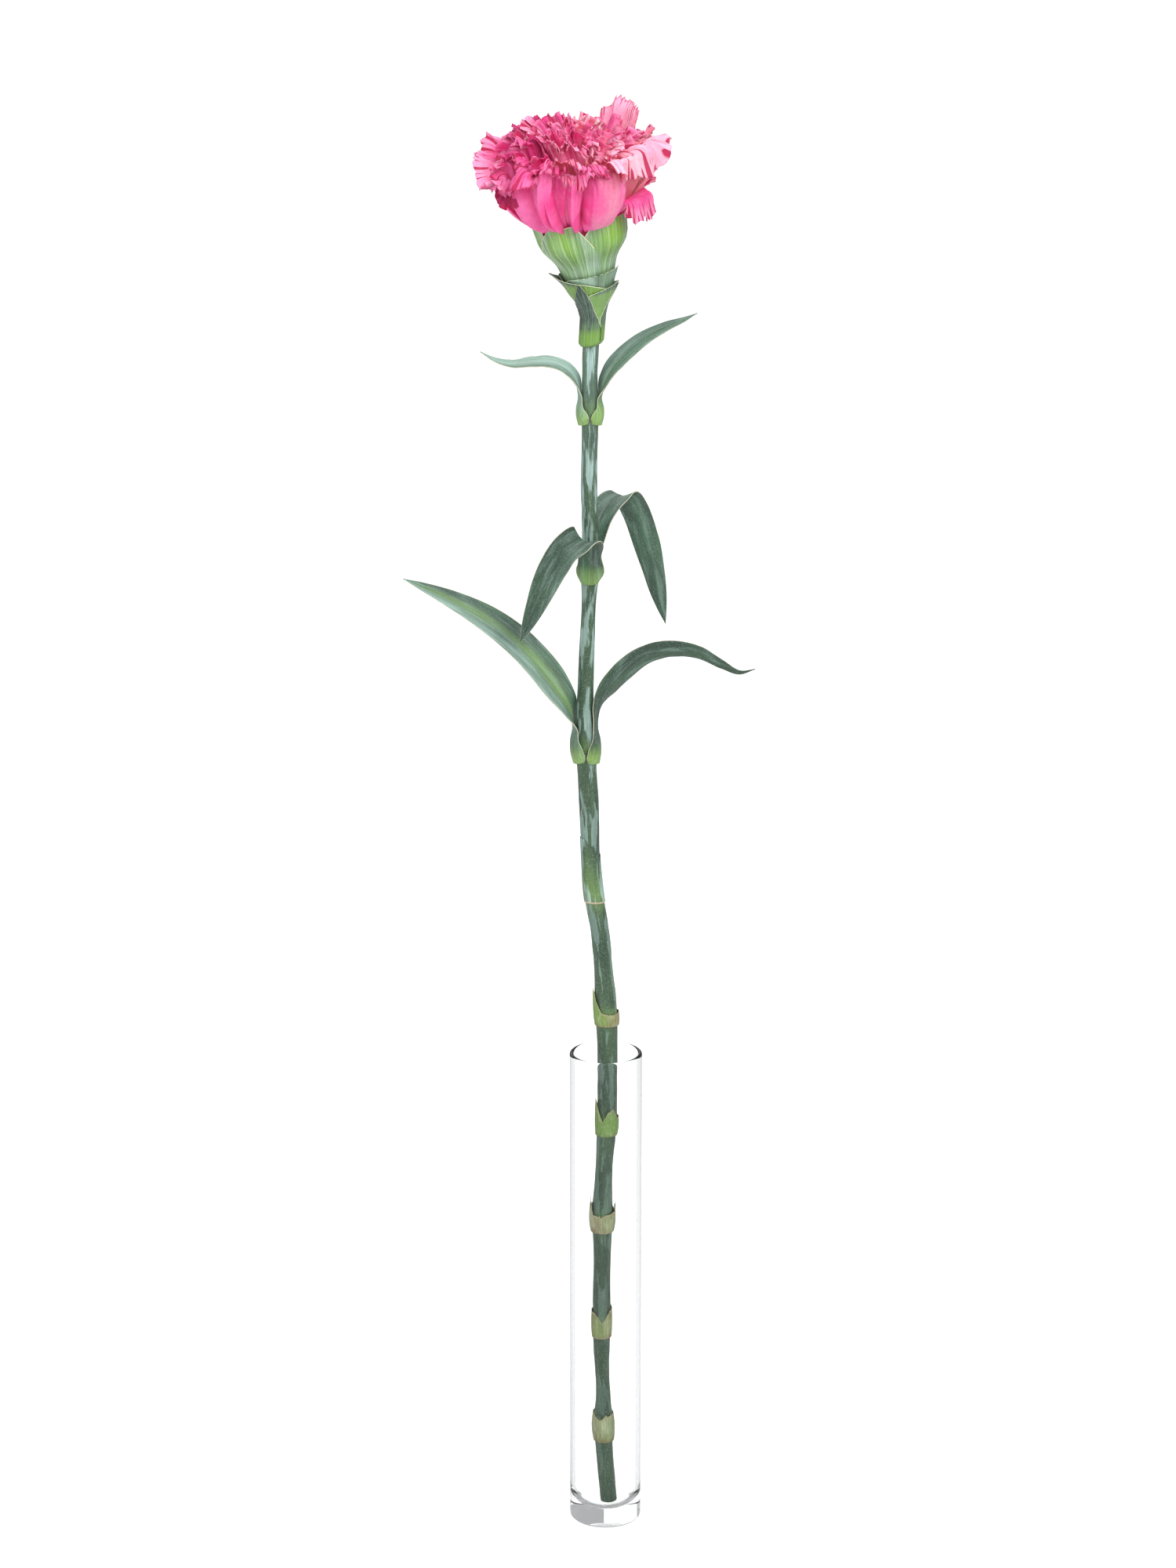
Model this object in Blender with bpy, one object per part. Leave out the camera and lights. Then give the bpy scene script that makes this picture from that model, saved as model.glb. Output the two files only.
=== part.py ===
"""A cut carnation standing in a slim glass cylinder vase.

Lengths are in millimetres in the named values and are turned into metres where a mesh is made.
+Z is up, +X is to the viewer's right, -Y faces the viewer. The origin is the centre of the vase's foot.
"""

import math

import bpy
import numpy as np
from mathutils import Matrix, Vector

MM = 0.001
GAP = 0.3  # air left between two pieces that touch

# Finishes: colour, roughness, transmission and alpha.
FINISHES = {
    "clear_glass": ((0.95, 0.97, 0.97), 0.03, 1.0, 0.35),
    "waxy_stem": ((0.13, 0.26, 0.17), 0.5, 0.0, 1.0),
    "waxy_leaf": ((0.10, 0.22, 0.13), 0.5, 0.0, 1.0),
    "calyx_green": ((0.26, 0.42, 0.14), 0.5, 0.0, 1.0),
    "dry_sheath": ((0.45, 0.50, 0.26), 0.7, 0.0, 1.0),
    "petal_pink": ((0.80, 0.16, 0.36), 0.6, 0.0, 1.0),
    "pistil_cream": ((0.75, 0.78, 0.55), 0.6, 0.0, 1.0),
}

# ---------------------------------------------------------------- vase
VASE_RADIUS = 13.0
VASE_HEIGHT = 180.0
VASE_WALL = 1.5
VASE_FLOOR = 5.0  # glass under the lowest point of the inside
VASE_FOOT_ROUND = 0.8
VASE_SIDES = 40

# ---------------------------------------------------------------- stem
# Centre line and radius by height: (height, x, y, radius). Joints are where leaves grow.
STEM_ROUTE = (
    (5.4, 1.3, -1.5, 3.05),
    (16.0, 0.4, -1.0, 3.05),
    (28.0, -0.5, -0.4, 3.20),
    (36.0, -0.8, 0.0, 3.60),
    (47.0, -0.8, 0.6, 2.65),
    (60.0, -1.3, 1.3, 2.75),
    (75.0, -1.4, 2.1, 3.25),
    (90.0, -1.4, 2.9, 3.15),
    (102.0, -1.2, 3.5, 3.20),
    (115.5, -1.2, 4.2, 3.80),
    (133.0, -0.6, 5.1, 3.10),
    (151.0, 0.4, 6.0, 3.60),
    (168.0, 0.6, 6.8, 3.60),
    (180.0, 0.6, 7.3, 3.65),
    (191.5, 0.2, 7.8, 3.90),
    (210.0, -1.0, 8.4, 3.35),
    (222.0, -2.1, 8.7, 3.30),
    (235.0, -4.2, 8.8, 3.40),
    (250.0, -5.4, 8.6, 3.20),
    (268.0, -6.0, 8.1, 3.50),
    (283.0, -6.8, 7.5, 3.40),
    (290.0, -7.2, 7.2, 3.80),
    (302.0, -7.4, 6.6, 3.10),
    (324.0, -6.8, 5.4, 2.70),
    (347.0, -5.9, 4.3, 2.70),
    (354.0, -5.6, 4.0, 3.30),
    (366.0, -5.7, 3.4, 2.85),
    (386.0, -6.0, 2.4, 2.80),
    (405.0, -5.7, 1.6, 2.85),
    (410.0, -5.7, 1.4, 3.10),
    (420.0, -5.8, 1.0, 2.65),
    (431.0, -5.5, 0.6, 2.75),
    (443.0, -4.6, 0.0, 3.00),
)
STEM_SIDES = 14
STEM_STEP = 6.0

# ---------------------------------------------------------------- flower head
HEAD_BASE = (-4.6, 0.0, 443.0)
HEAD_LEAN_LEFT = 9.8  # degrees
HEAD_LEAN_FRONT = 6.0
RECEPTACLE_TOP = 8.5
RECEPTACLE_RADIUS = 5.3
MOUTH_HEIGHT = 31.0
LEVEL_SHEAR = 0.11  # how far the crown is turned back towards level
CROWN_SHIFT = 2.8

# Outline of receptacle and calyx above the head's base: (height, outer radius).
CALYX_OUTLINE = (
    (-12.0, 2.8),
    (-4.0, 2.9),
    (0.0, 3.0),
    (3.5, 3.9),
    (6.0, 5.3),
    (8.5, 6.9),
    (11.0, 8.1),
    (14.0, 9.7),
    (16.6, 11.0),
    (19.2, 12.5),
    (21.9, 13.8),
    (24.6, 14.7),
    (27.2, 15.2),
    (30.0, 15.6),
    (33.0, 16.6),
)
CALYX_WALL = 0.6
CALYX_FOOT = 4.0
CALYX_LOBES = 5
CALYX_NOTCH = 24.0
CALYX_TIP = 32.0
CALYX_TURN = -78.0  # azimuth of one notch between lobes

# Whorls of petals from the outside in: share of the calyx radius, petals, first azimuth, margin radius and height.
WHORLS = (
    ("guard", 0.920, 8, 22.5, 30.5, 52.5),
    ("second", 0.825, 8, 2.0, 28.6, 57.2),
    ("third", 0.720, 7, 10.0, 24.4, 61.2),
    ("fourth", 0.615, 6, 26.0, 18.8, 64.2),
    ("fifth", 0.505, 5, 0.0, 12.8, 66.2),
    ("heart", 0.395, 3, 20.0, 6.8, 67.3),
)
# Petals that differ from their whorl: (whorl, number) -> (margin radius, margin height, how far it turns down).
ODD_PETALS = {
    ("fourth", 1): (24.0, 70.5, 0.0),
    ("second", 1): (33.0, 49.0, 0.2),
    ("second", 5): (32.5, 54.0, 0.2),
    ("guard", 1): (28.0, 38.0, 0.6),
    ("guard", 4): (29.0, 45.0, 0.2),
    ("guard", 5): (25.5, 38.0, 0.7),
    ("guard", 8): (24.5, 32.0, 1.0),
}
PETAL_THICK = 0.28
PETAL_ACROSS = 5
PETAL_CLAW_ROWS = 2
PETAL_BLADE_ROWS = 5
SECTOR_GAP = 1.3  # degrees left beside each petal
RUFFLE = 1.3

# ---------------------------------------------------------------- leaves
LEAF_THICK = 0.7
LEAF_ACROSS = 6
LEAF_ROWS = 16


def smooth(t):
    """0 below 0, 1 above 1 and an S-shaped curve between."""
    t = np.clip(t, 0.0, 1.0)
    return t * t * (3.0 - 2.0 * t)


def curve_through(points, share):
    """A smooth curve through the points (Catmull-Rom), read at share 0 to 1 along their chord length."""
    p = np.asarray(points, float)
    chord = np.concatenate([[0.0], np.cumsum(np.linalg.norm(np.diff(p[:, :3], axis=0), axis=1))])
    knots = chord / chord[-1]
    slopes = np.gradient(p, knots, axis=0)
    share = np.clip(np.asarray(share, float), 0.0, 1.0)
    i = np.clip(np.searchsorted(knots, share, side="right") - 1, 0, len(p) - 2)
    width = (knots[i + 1] - knots[i])[..., None]
    t = ((share - knots[i])[..., None]) / width
    a = 2 * t**3 - 3 * t**2 + 1
    b = t**3 - 2 * t**2 + t
    c = -2 * t**3 + 3 * t**2
    d = t**3 - t**2
    return a * p[i] + b * width * slopes[i] + c * p[i + 1] + d * width * slopes[i + 1]


def piece_material(name, finish):
    """The piece's own material, from one of the named finishes."""
    colour, roughness, transmission, alpha = FINISHES[finish]
    made = bpy.data.materials.new(f"{name}_{finish}")
    made.use_nodes = True
    shader = made.node_tree.nodes["Principled BSDF"]
    shader.inputs["Base Color"].default_value = (*colour, 1.0)
    shader.inputs["Roughness"].default_value = roughness
    shader.inputs["Metallic"].default_value = 0.0
    shader.inputs["Transmission Weight"].default_value = transmission
    shader.inputs["Alpha"].default_value = alpha
    made.diffuse_color = (*colour, alpha)
    return made


def add_piece(name, points, faces, finish, parent=None):
    """One named object from points in millimetres."""
    mesh = bpy.data.meshes.new(name)
    mesh.from_pydata([tuple(p * MM) for p in np.asarray(points, float)], [], faces)
    mesh.materials.append(piece_material(name, finish))
    mesh.validate()
    mesh.update()
    mesh.shade_smooth()
    piece = bpy.data.objects.new(name, mesh)
    bpy.context.scene.collection.objects.link(piece)
    piece.parent = parent
    return piece


def sheet_faces(rows, columns):
    """Quads of a sheet that has two sides and a rim. Points are the front side row by row, then the back side."""
    back = rows * columns
    faces = []
    for i in range(rows - 1):
        for j in range(columns - 1):
            a, b = i * columns + j, i * columns + j + 1
            c, d = a + columns, b + columns
            faces.append((a, b, d, c))
            faces.append((back + a, back + c, back + d, back + b))
    rim = [j for j in range(columns)]
    rim += [i * columns + columns - 1 for i in range(1, rows)]
    rim += [(rows - 1) * columns + j for j in range(columns - 2, -1, -1)]
    rim += [i * columns for i in range(rows - 2, 0, -1)]
    for k, a in enumerate(rim):
        b = rim[(k + 1) % len(rim)]
        faces.append((b, a, back + a, back + b))
    return faces


def sheet_solid(middle, thickness):
    """Points of a thin solid around a middle surface given as rows x columns x 3. The front side is along du x dv."""
    along = np.gradient(middle, axis=0)
    across = np.gradient(middle, axis=1)
    normal = np.cross(across, along)
    normal /= np.maximum(np.linalg.norm(normal, axis=2, keepdims=True), 1e-9)
    half = np.asarray(thickness, float)[..., None] / 2 * normal
    front = (middle + half).reshape(-1, 3)
    back = (middle - half).reshape(-1, 3)
    return np.concatenate([front, back])


def tube_faces(rings, sides):
    """Quads round a stack of rings, with a flat face at each end."""
    faces = []
    for i in range(rings - 1):
        for j in range(sides):
            k = (j + 1) % sides
            faces.append((i * sides + j, i * sides + k, (i + 1) * sides + k, (i + 1) * sides + j))
    faces.append(tuple(reversed(range(sides))))
    faces.append(tuple((rings - 1) * sides + j for j in range(sides)))
    return faces


def ring_shell_faces(rows, sides):
    """Quads of a hollow ring: outer wall rows, then inner wall rows, joined at the top and the foot."""
    inner = rows * sides
    faces = []
    for i in range(rows - 1):
        for j in range(sides):
            k = (j + 1) % sides
            a, b, c, d = i * sides + j, i * sides + k, (i + 1) * sides + k, (i + 1) * sides + j
            faces.append((a, b, c, d))
            faces.append((inner + a, inner + d, inner + c, inner + b))
    top = (rows - 1) * sides
    for j in range(sides):
        k = (j + 1) % sides
        faces.append((k, j, inner + j, inner + k))
        faces.append((top + j, top + k, inner + top + k, inner + top + j))
    return faces


def head_turn():
    """Rotation that leans the flower head."""
    left = Matrix.Rotation(math.radians(-HEAD_LEAN_LEFT), 4, "Y")
    return left @ Matrix.Rotation(math.radians(HEAD_LEAN_FRONT), 4, "X")


def stem_at(height):
    """(x, y, z, radius) of the stem at a height."""
    route = np.array(STEM_ROUTE)
    heights = route[:, 0]
    slopes = np.gradient(route, heights, axis=0)
    h = np.clip(np.asarray(height, float), heights[0], heights[-1])
    i = np.clip(np.searchsorted(heights, h, side="right") - 1, 0, len(heights) - 2)
    width = (heights[i + 1] - heights[i])[..., None]
    t = (h - heights[i])[..., None] / width
    value = (
        (2 * t**3 - 3 * t**2 + 1) * route[i]
        + (t**3 - 2 * t**2 + t) * width * slopes[i]
        + (-2 * t**3 + 3 * t**2) * route[i + 1]
        + (t**3 - t**2) * width * slopes[i + 1]
    )
    return value[..., [1, 2, 0, 3]]


def make_vase(finish):
    """A turned glass cylinder with a thick floor whose inside is dished."""
    outer, inner = VASE_RADIUS, VASE_RADIUS - VASE_WALL
    dish = np.radians(np.linspace(0.0, 90.0, 5)[1:])
    profile = [
        (outer - VASE_FOOT_ROUND, 0.0),
        (outer, VASE_FOOT_ROUND),
        (outer, VASE_HEIGHT - 0.5),
        (outer - 0.4, VASE_HEIGHT),
        (inner + 0.4, VASE_HEIGHT),
        (inner, VASE_HEIGHT - 0.5),
    ]
    dish_radius = 7.0
    profile += [
        (inner - dish_radius * (1 - math.cos(a)), VASE_FLOOR + dish_radius * (1 - math.sin(a))) for a in dish
    ]
    profile.insert(6, (inner, VASE_FLOOR + dish_radius))
    turns = np.linspace(0.0, 2 * math.pi, VASE_SIDES, endpoint=False)
    points = [(r * math.cos(t), r * math.sin(t), z) for r, z in profile for t in turns]
    faces = tube_faces(len(profile), VASE_SIDES)
    return add_piece("glass_vase", points, faces, finish)


def make_stem(finish, head):
    """The whole stem with its swollen joints, and the receptacle that carries the flower at its top."""
    heights = np.array([row[0] for row in STEM_ROUTE])
    levels = []
    for low, high in zip(heights[:-1], heights[1:]):
        levels += list(np.linspace(low, high, max(1, round((high - low) / STEM_STEP)), endpoint=False))
    levels = np.array(levels)
    turns = np.linspace(0.0, 2 * math.pi, STEM_SIDES, endpoint=False)
    centre = stem_at(levels)
    points = []
    for x, y, z, radius in centre:
        points += [(x + radius * math.cos(t), y + radius * math.sin(t), z) for t in turns]
    receptacle = [(0.0, 3.0), (3.0, 3.2), (6.0, 4.2), (RECEPTACLE_TOP, RECEPTACLE_RADIUS)]
    turn = np.array(head)
    for z, radius in receptacle:
        for t in turns:
            local = np.array([radius * math.cos(t), radius * math.sin(t), z, 1.0])
            points.append(tuple((turn @ local)[:3]))
    rings = len(levels) + len(receptacle)
    return add_piece("stem", points, tube_faces(rings, STEM_SIDES), finish)


def make_collar(name, finish, foot, top, swell, slant, slant_at, teeth=0.0):
    """What is left of a stripped leaf pair: a thin sheath round a joint. Its top edge is higher towards slant_at."""
    sides, rows = 16, 3
    turns = np.linspace(0.0, 2 * math.pi, sides, endpoint=False)
    lift = slant * (0.5 + 0.5 * np.cos(turns - math.radians(slant_at)))
    lift += teeth * (np.arange(sides) % 2)
    share = np.linspace(0.0, 1.0, rows)[:, None]
    height = foot + share * (top - foot + lift[None, :])
    centre = stem_at(height)
    radius = centre[..., 3] + GAP
    walls = []
    for thick in (swell * (0.55 + 0.45 * np.sin(math.pi * share**0.7)), 0.0 * share):
        r = radius + thick
        walls.append(
            np.stack([centre[..., 0] + r * np.cos(turns), centre[..., 1] + r * np.sin(turns), height], -1)
        )
    points = np.concatenate([w.reshape(-1, 3) for w in walls])
    return add_piece(name, points, ring_shell_faces(rows, sides), finish)


def calyx_radius(height):
    """Outer radius of the calyx, and of the receptacle below it, at a height above the head's base."""
    outline = np.array(CALYX_OUTLINE)
    return np.interp(height, outline[:, 0], outline[:, 1])


def polar(radius, azimuth, height):
    """Points about the head's axis, from radius, azimuth in radians and height."""
    return np.stack([radius * np.cos(azimuth), radius * np.sin(azimuth), height + 0.0 * radius * azimuth], -1)


def follow_stem(points):
    """Moves the points below the head's base sideways, so that they stay centred on the bending stem."""
    turn = np.array(head_turn())[:3, :3]
    depths = np.linspace(-14.0, 0.0, 8)
    centres = np.array([stem_at(HEAD_BASE[2] + d * turn[2, 2])[:3] for d in depths])
    offsets = (centres - np.array(HEAD_BASE)) @ turn
    moved = points.copy()
    moved[..., 0] += np.interp(points[..., 2], depths, offsets[:, 0])
    moved[..., 1] += np.interp(points[..., 2], depths, offsets[:, 1])
    return moved


def make_calyx(finish, head):
    """The fused green cup with five lobes at its mouth."""
    sides, rows = 30, 9
    turns = np.linspace(0.0, 2 * math.pi, sides, endpoint=False)
    phase = (turns - math.radians(CALYX_TURN)) * CALYX_LOBES / (2 * math.pi) % 1.0
    lobe = 1.0 - np.abs(2 * phase - 1.0) ** 2.2
    top = CALYX_NOTCH + (CALYX_TIP - CALYX_NOTCH) * lobe
    share = np.linspace(0.0, 1.0, rows)[:, None]
    height = CALYX_FOOT + share * (top - CALYX_FOOT)
    outer = calyx_radius(height)
    walls = [polar(outer, turns, height), polar(outer - CALYX_WALL, turns, height)]
    points = np.concatenate([w.reshape(-1, 3) for w in walls])
    return add_piece("calyx", points, ring_shell_faces(rows, sides), finish, head)


# Bracts under the calyx: name, azimuth of the middle, foot, tip, half spread, layer, tip flare.
BRACTS = (
    ("bract_upper_front", -62.0, 2.5, 13.0, 82.0, 1, 0.5),
    ("bract_upper_back", 118.0, 2.5, 13.0, 82.0, 1, 0.5),
    ("bract_middle_left", -172.0, -3.0, 17.0, 80.0, 2, 1.8),
    ("bract_middle_right", 8.0, -3.0, 15.5, 80.0, 2, 0.6),
    ("bract_lower_front", -118.0, -9.5, 13.0, 78.0, 3, 0.8),
    ("bract_lower_back", 62.0, -9.5, 12.0, 78.0, 3, 1.4),
)
BRACT_THICK = 0.45
BRACT_STEP = 0.78


def make_bract(finish, head, name, azimuth, foot, tip, spread, layer, flare):
    """A pointed scale that hugs the calyx. Each layer lies outside the ones that start above it."""
    rows, columns = 8, 7
    share = np.linspace(0.0, 1.0, rows)[:, None]
    side = np.linspace(-1.0, 1.0, columns)[None, :]
    height = foot + share * (tip - foot) * (1.0 - 0.10 * side**2 * share)
    layers_below = np.zeros_like(height)
    for inner in range(1, layer):
        start = [row[2] for row in BRACTS if row[5] == inner][0]
        layers_below += smooth((height - start + 2.5) / 2.5)
    radius = calyx_radius(height) + GAP + BRACT_THICK / 2 + BRACT_STEP * layers_below
    radius += flare * share**3
    width = np.radians(spread) * (1.0 - share**1.6) ** 0.8 + 0.06
    angle = math.radians(azimuth) + side * width
    middle = follow_stem(polar(radius, angle, height))
    thick = BRACT_THICK * np.ones_like(radius)
    return add_piece(name, sheet_solid(middle, thick), sheet_faces(rows, columns), finish, head)


def level(points):
    """Turns the crown of petals back towards level and moves it sideways, above the calyx's mouth."""
    lift = smooth((points[..., 2] - MOUTH_HEIGHT - 1.0) / 20.0)
    moved = points.copy()
    moved[..., 0] += CROWN_SHIFT * lift
    moved[..., 2] -= LEVEL_SHEAR * points[..., 0] * lift
    return moved


def blade_line(mouth, margin, droop, share):
    """Radius and height along a blade: a Bezier curve that spreads from the mouth. With droop above 0 it arches
    over and hangs."""
    (r0, z0), (r3, z3) = mouth, margin
    out, rise = r3 - r0, z3 - z0
    r1, z1 = r0 + 0.28 * out, z0 + 0.30 * rise + 5.0 * droop
    r2, z2 = r3 - 0.28 * out, z3 - 0.26 * rise * (1.0 - droop) + 8.0 * droop
    t = share
    weights = ((1 - t) ** 3, 3 * t * (1 - t) ** 2, 3 * t**2 * (1 - t), t**3)
    radius = weights[0] * r0 + weights[1] * r1 + weights[2] * r2 + weights[3] * r3
    height = weights[0] * z0 + weights[1] * z1 + weights[2] * z2 + weights[3] * z3
    return radius, height


def make_petal(finish, head, name, azimuth, half_sector, share_in, margin, droop, ruffle, waves):
    """One petal: a narrow claw inside the calyx and a fan-shaped blade whose margin is ruffled."""
    rows, columns = PETAL_CLAW_ROWS + PETAL_BLADE_ROWS, PETAL_ACROSS
    side = np.linspace(-1.0, 1.0, columns)[None, :]
    claw_foot = RECEPTACLE_TOP + GAP
    claw = np.linspace(claw_foot, MOUTH_HEIGHT, PETAL_CLAW_ROWS + 1)[:-1, None] + 0.0 * side
    claw_radius = share_in * (calyx_radius(claw) - CALYX_WALL - 0.2)
    mouth = (share_in * (calyx_radius(MOUTH_HEIGHT) - CALYX_WALL - 0.2), MOUTH_HEIGHT)
    along = np.linspace(0.0, 1.0, PETAL_BLADE_ROWS)[:, None]
    reach = along * (1.0 - 0.13 * side**2 * along)
    blade_radius, blade_height = blade_line(mouth, margin, droop, reach)
    radius = np.concatenate([claw_radius, blade_radius])
    height = np.concatenate([claw, blade_height])
    open_share = np.concatenate([np.linspace(0.30, 0.52, PETAL_CLAW_ROWS)[:, None], 0.55 + 0.45 * along**0.6])
    angle = math.radians(azimuth) + side * math.radians(half_sector) * open_share
    wave = ruffle * np.sin(waves * angle + 1.7 * waves)
    fade = np.concatenate([np.zeros((PETAL_CLAW_ROWS, 1)), smooth(along)])
    radius = radius + 0.5 * wave * fade
    height = height - 0.8 * wave * fade
    middle = level(polar(radius, angle, height))
    thick = PETAL_THICK * np.ones_like(radius)
    return add_piece(name, sheet_solid(middle, thick), sheet_faces(rows, columns), finish, head)


def make_petals(finish, head):
    for whorl, (title, share_in, count, first, margin_radius, margin_height) in enumerate(WHORLS):
        for number in range(1, count + 1):
            azimuth = first + (number - 1) * 360.0 / count
            margin, droop = (margin_radius, margin_height), 0.0
            if (title, number) in ODD_PETALS:
                *margin, droop = ODD_PETALS[title, number]
            make_petal(
                finish,
                head,
                f"petal_{title}_{number}",
                azimuth,
                180.0 / count - SECTOR_GAP,
                share_in,
                tuple(margin),
                droop,
                RUFFLE,
                3 * count,
            )


def make_pistil(finish, head):
    """The ovary on the receptacle with its style, wrapped by the petals' claws."""
    outline = [
        (8.8, 1.2), (10.5, 1.9), (14.0, 2.1), (17.5, 1.6), (19.5, 0.8),
        (26.0, 0.6), (34.0, 0.6), (42.0, 0.5),
    ]
    sides = 10
    turns = np.linspace(0.0, 2 * math.pi, sides, endpoint=False)
    points = [(r * math.cos(t), r * math.sin(t), z) for z, r in outline for t in turns]
    return add_piece("pistil", points, tube_faces(len(outline), sides), finish, head)


# Leaves: foot height on the stem, azimuth of the foot, sheath length, swelling, half width of the blade, and the
# blade's route after the sheath. A route row is a point of the middle line and the direction across the blade there.
LEAVES = {
    "leaf_upper_left": dict(
        foot=405.5, azimuth=180.0, sheath=9.0, swell=1.3, width=2.9,
        route=((-9.9, 1.2, 419.0, -0.2, -0.9, -0.2), (-12.6, 0.7, 423.6, -0.4, -0.8, -0.4),
               (-18.0, 0.0, 426.6, -0.2, -0.8, -0.6), (-25.0, -1.0, 427.0, 0.0, -0.8, -0.6),
               (-32.0, -2.0, 426.6, 0.0, -0.8, -0.6), (-38.0, -2.8, 428.2, -0.2, -0.8, -0.6),
               (-42.8, -3.5, 431.1, -0.3, -0.8, -0.5)),
    ),
    "leaf_upper_right": dict(
        foot=405.5, azimuth=0.0, sheath=9.0, swell=1.3, width=3.3,
        route=((-1.2, 1.2, 418.5, -0.3, 0.8, 0.2), (1.6, 0.6, 424.6, -0.5, 0.6, 0.4),
               (6.5, -0.8, 430.2, -0.5, 0.5, 0.5), (13.0, -2.2, 435.6, -0.5, 0.5, 0.6),
               (20.1, -3.6, 439.6, -0.4, 0.5, 0.7), (26.4, -4.8, 442.3, -0.4, 0.5, 0.7),
               (30.4, -5.5, 444.4, -0.5, 0.5, 0.6)),
    ),
    "leaf_middle_left": dict(
        foot=350.0, azimuth=-96.0, sheath=9.5, swell=1.3, width=5.3,
        route=((-6.2, -4.2, 364.6, 1.0, 0.0, -0.2), (-8.8, -7.8, 367.2, 0.85, -0.1, -0.5),
               (-13.6, -10.8, 365.2, 0.82, 0.0, -0.56), (-18.0, -12.0, 359.0, 0.85, 0.0, -0.5),
               (-21.4, -12.8, 352.2, 0.90, 0.0, -0.43), (-24.0, -13.4, 346.0, 0.92, 0.0, -0.39),
               (-26.8, -13.8, 339.4, 0.90, 0.0, -0.43), (-29.6, -14.0, 332.6, 0.80, 0.0, -0.60)),
    ),
    "leaf_middle_right": dict(
        foot=350.0, azimuth=84.0, sheath=9.5, swell=1.3, width=4.9,
        route=((-4.4, 8.4, 364.6, -0.95, 0.2, 0.2), (-2.4, 9.6, 370.6, -0.85, 0.3, 0.45),
               (1.2, 12.6, 376.2, -0.8, 0.3, 0.5), (5.8, 17.2, 377.6, -1.0, 0.3, 0.1),
               (9.8, 20.0, 372.6, -0.95, 0.1, -0.25), (13.2, 20.6, 363.6, -0.95, 0.0, -0.3),
               (16.0, 20.4, 353.6, -0.95, 0.0, -0.3), (18.4, 19.8, 343.0, -0.95, 0.0, -0.3),
               (20.8, 19.0, 332.4, -0.95, 0.0, -0.3)),
    ),
    "leaf_lower_left": dict(
        foot=285.0, azimuth=180.0, sheath=12.5, swell=1.3, width=5.6,
        route=((-13.2, 5.4, 305.0, -0.4, -0.8, -0.4), (-17.6, 3.8, 313.0, -0.6, -0.5, -0.6),
               (-23.2, 2.0, 321.4, -0.65, -0.35, -0.65), (-31.0, -0.2, 330.2, -0.6, -0.35, -0.7),
               (-41.0, -2.8, 338.6, -0.55, -0.35, -0.75), (-51.6, -5.2, 345.2, -0.45, -0.35, -0.8),
               (-61.4, -7.2, 350.2, -0.4, -0.35, -0.85), (-69.6, -8.4, 353.9, -0.4, -0.35, -0.85)),
    ),
    "leaf_lower_right": dict(
        foot=285.0, azimuth=0.0, sheath=12.5, swell=1.3, width=4.3,
        route=((-2.4, 6.6, 305.4, 0.3, 0.9, -0.3), (0.8, 6.0, 311.6, 0.5, 0.55, -0.6),
               (5.8, 5.2, 317.8, 0.55, 0.4, -0.65), (13.0, 4.4, 323.6, 0.4, 0.4, -0.8),
               (22.0, 3.2, 326.4, 0.1, 0.4, -0.9), (31.6, 1.8, 325.6, -0.15, 0.4, -0.9),
               (40.0, 0.8, 321.6, -0.3, 0.4, -0.85), (46.4, 0.0, 319.0, -0.1, 0.4, -0.9),
               (51.6, -0.4, 320.4, 0.2, 0.4, -0.9)),
    ),
}


def leaf_surface(foot, azimuth, sheath, swell, width, route, rows, columns):
    """Middle surface of a leaf. Its section is an arc that clasps the stem at the foot and opens to a shallow
    channel along the blade. Row by row from the foot to the tip."""
    out = np.array((math.cos(math.radians(azimuth)), math.sin(math.radians(azimuth)), 0.0))
    across_foot = np.cross((0.0, 0.0, 1.0), out)
    base = []
    for lift in np.linspace(0.0, 1.0, 4):
        x, y, z, radius = stem_at(np.array(foot + lift * sheath))
        stand = GAP + LEAF_THICK / 2 + swell * math.sin(math.pi * min(1.0, lift * 0.9 + 0.1)) * 0.6
        base.append((*(np.array([x, y, z]) + out * (radius + stand)), *across_foot))
    points = np.array(base + list(route), float)
    share = np.linspace(0.0, 1.0, rows) ** 1.05
    line = curve_through(points, share)
    side = line[:, 3:]
    line = line[:, :3]
    tangent = np.gradient(line, axis=0)
    tangent /= np.linalg.norm(tangent, axis=1, keepdims=True)
    side = side - tangent * np.sum(side * tangent, axis=1, keepdims=True)
    side /= np.linalg.norm(side, axis=1, keepdims=True)
    upper = np.cross(tangent, side)
    length = np.concatenate([[0.0], np.cumsum(np.linalg.norm(np.diff(line, axis=0), axis=1))])
    clasp = smooth(1.0 - (length - sheath * 0.45) / (sheath * 0.95))
    t = length / length[-1]
    blade = width * (0.60 + 0.40 * smooth(t / 0.35)) * (1.0 - smooth((t - 0.45) / 0.55) ** 1.2)
    hug = stem_at(np.minimum(foot + length, foot + sheath))[:, 3] + GAP + LEAF_THICK / 2
    hug = hug + 0.6 * swell * np.sin(np.pi * np.minimum(1.0, 0.9 * length / sheath + 0.1))
    half_width = clasp * hug + (1 - clasp) * np.maximum(blade, 0.25)
    opening = np.radians(clasp * 84.0 + (1 - clasp) * 24.0)
    across = np.linspace(-1.0, 1.0, columns)[None, :]
    sideways = half_width[:, None] * np.sin(opening[:, None] * across) / np.sin(opening[:, None])
    sag = half_width[:, None] * (1 - np.cos(opening[:, None] * across)) / np.sin(opening[:, None])
    surface = line[:, None, :] + sideways[..., None] * side[:, None, :]
    return surface + sag[..., None] * upper[:, None, :]


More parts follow.
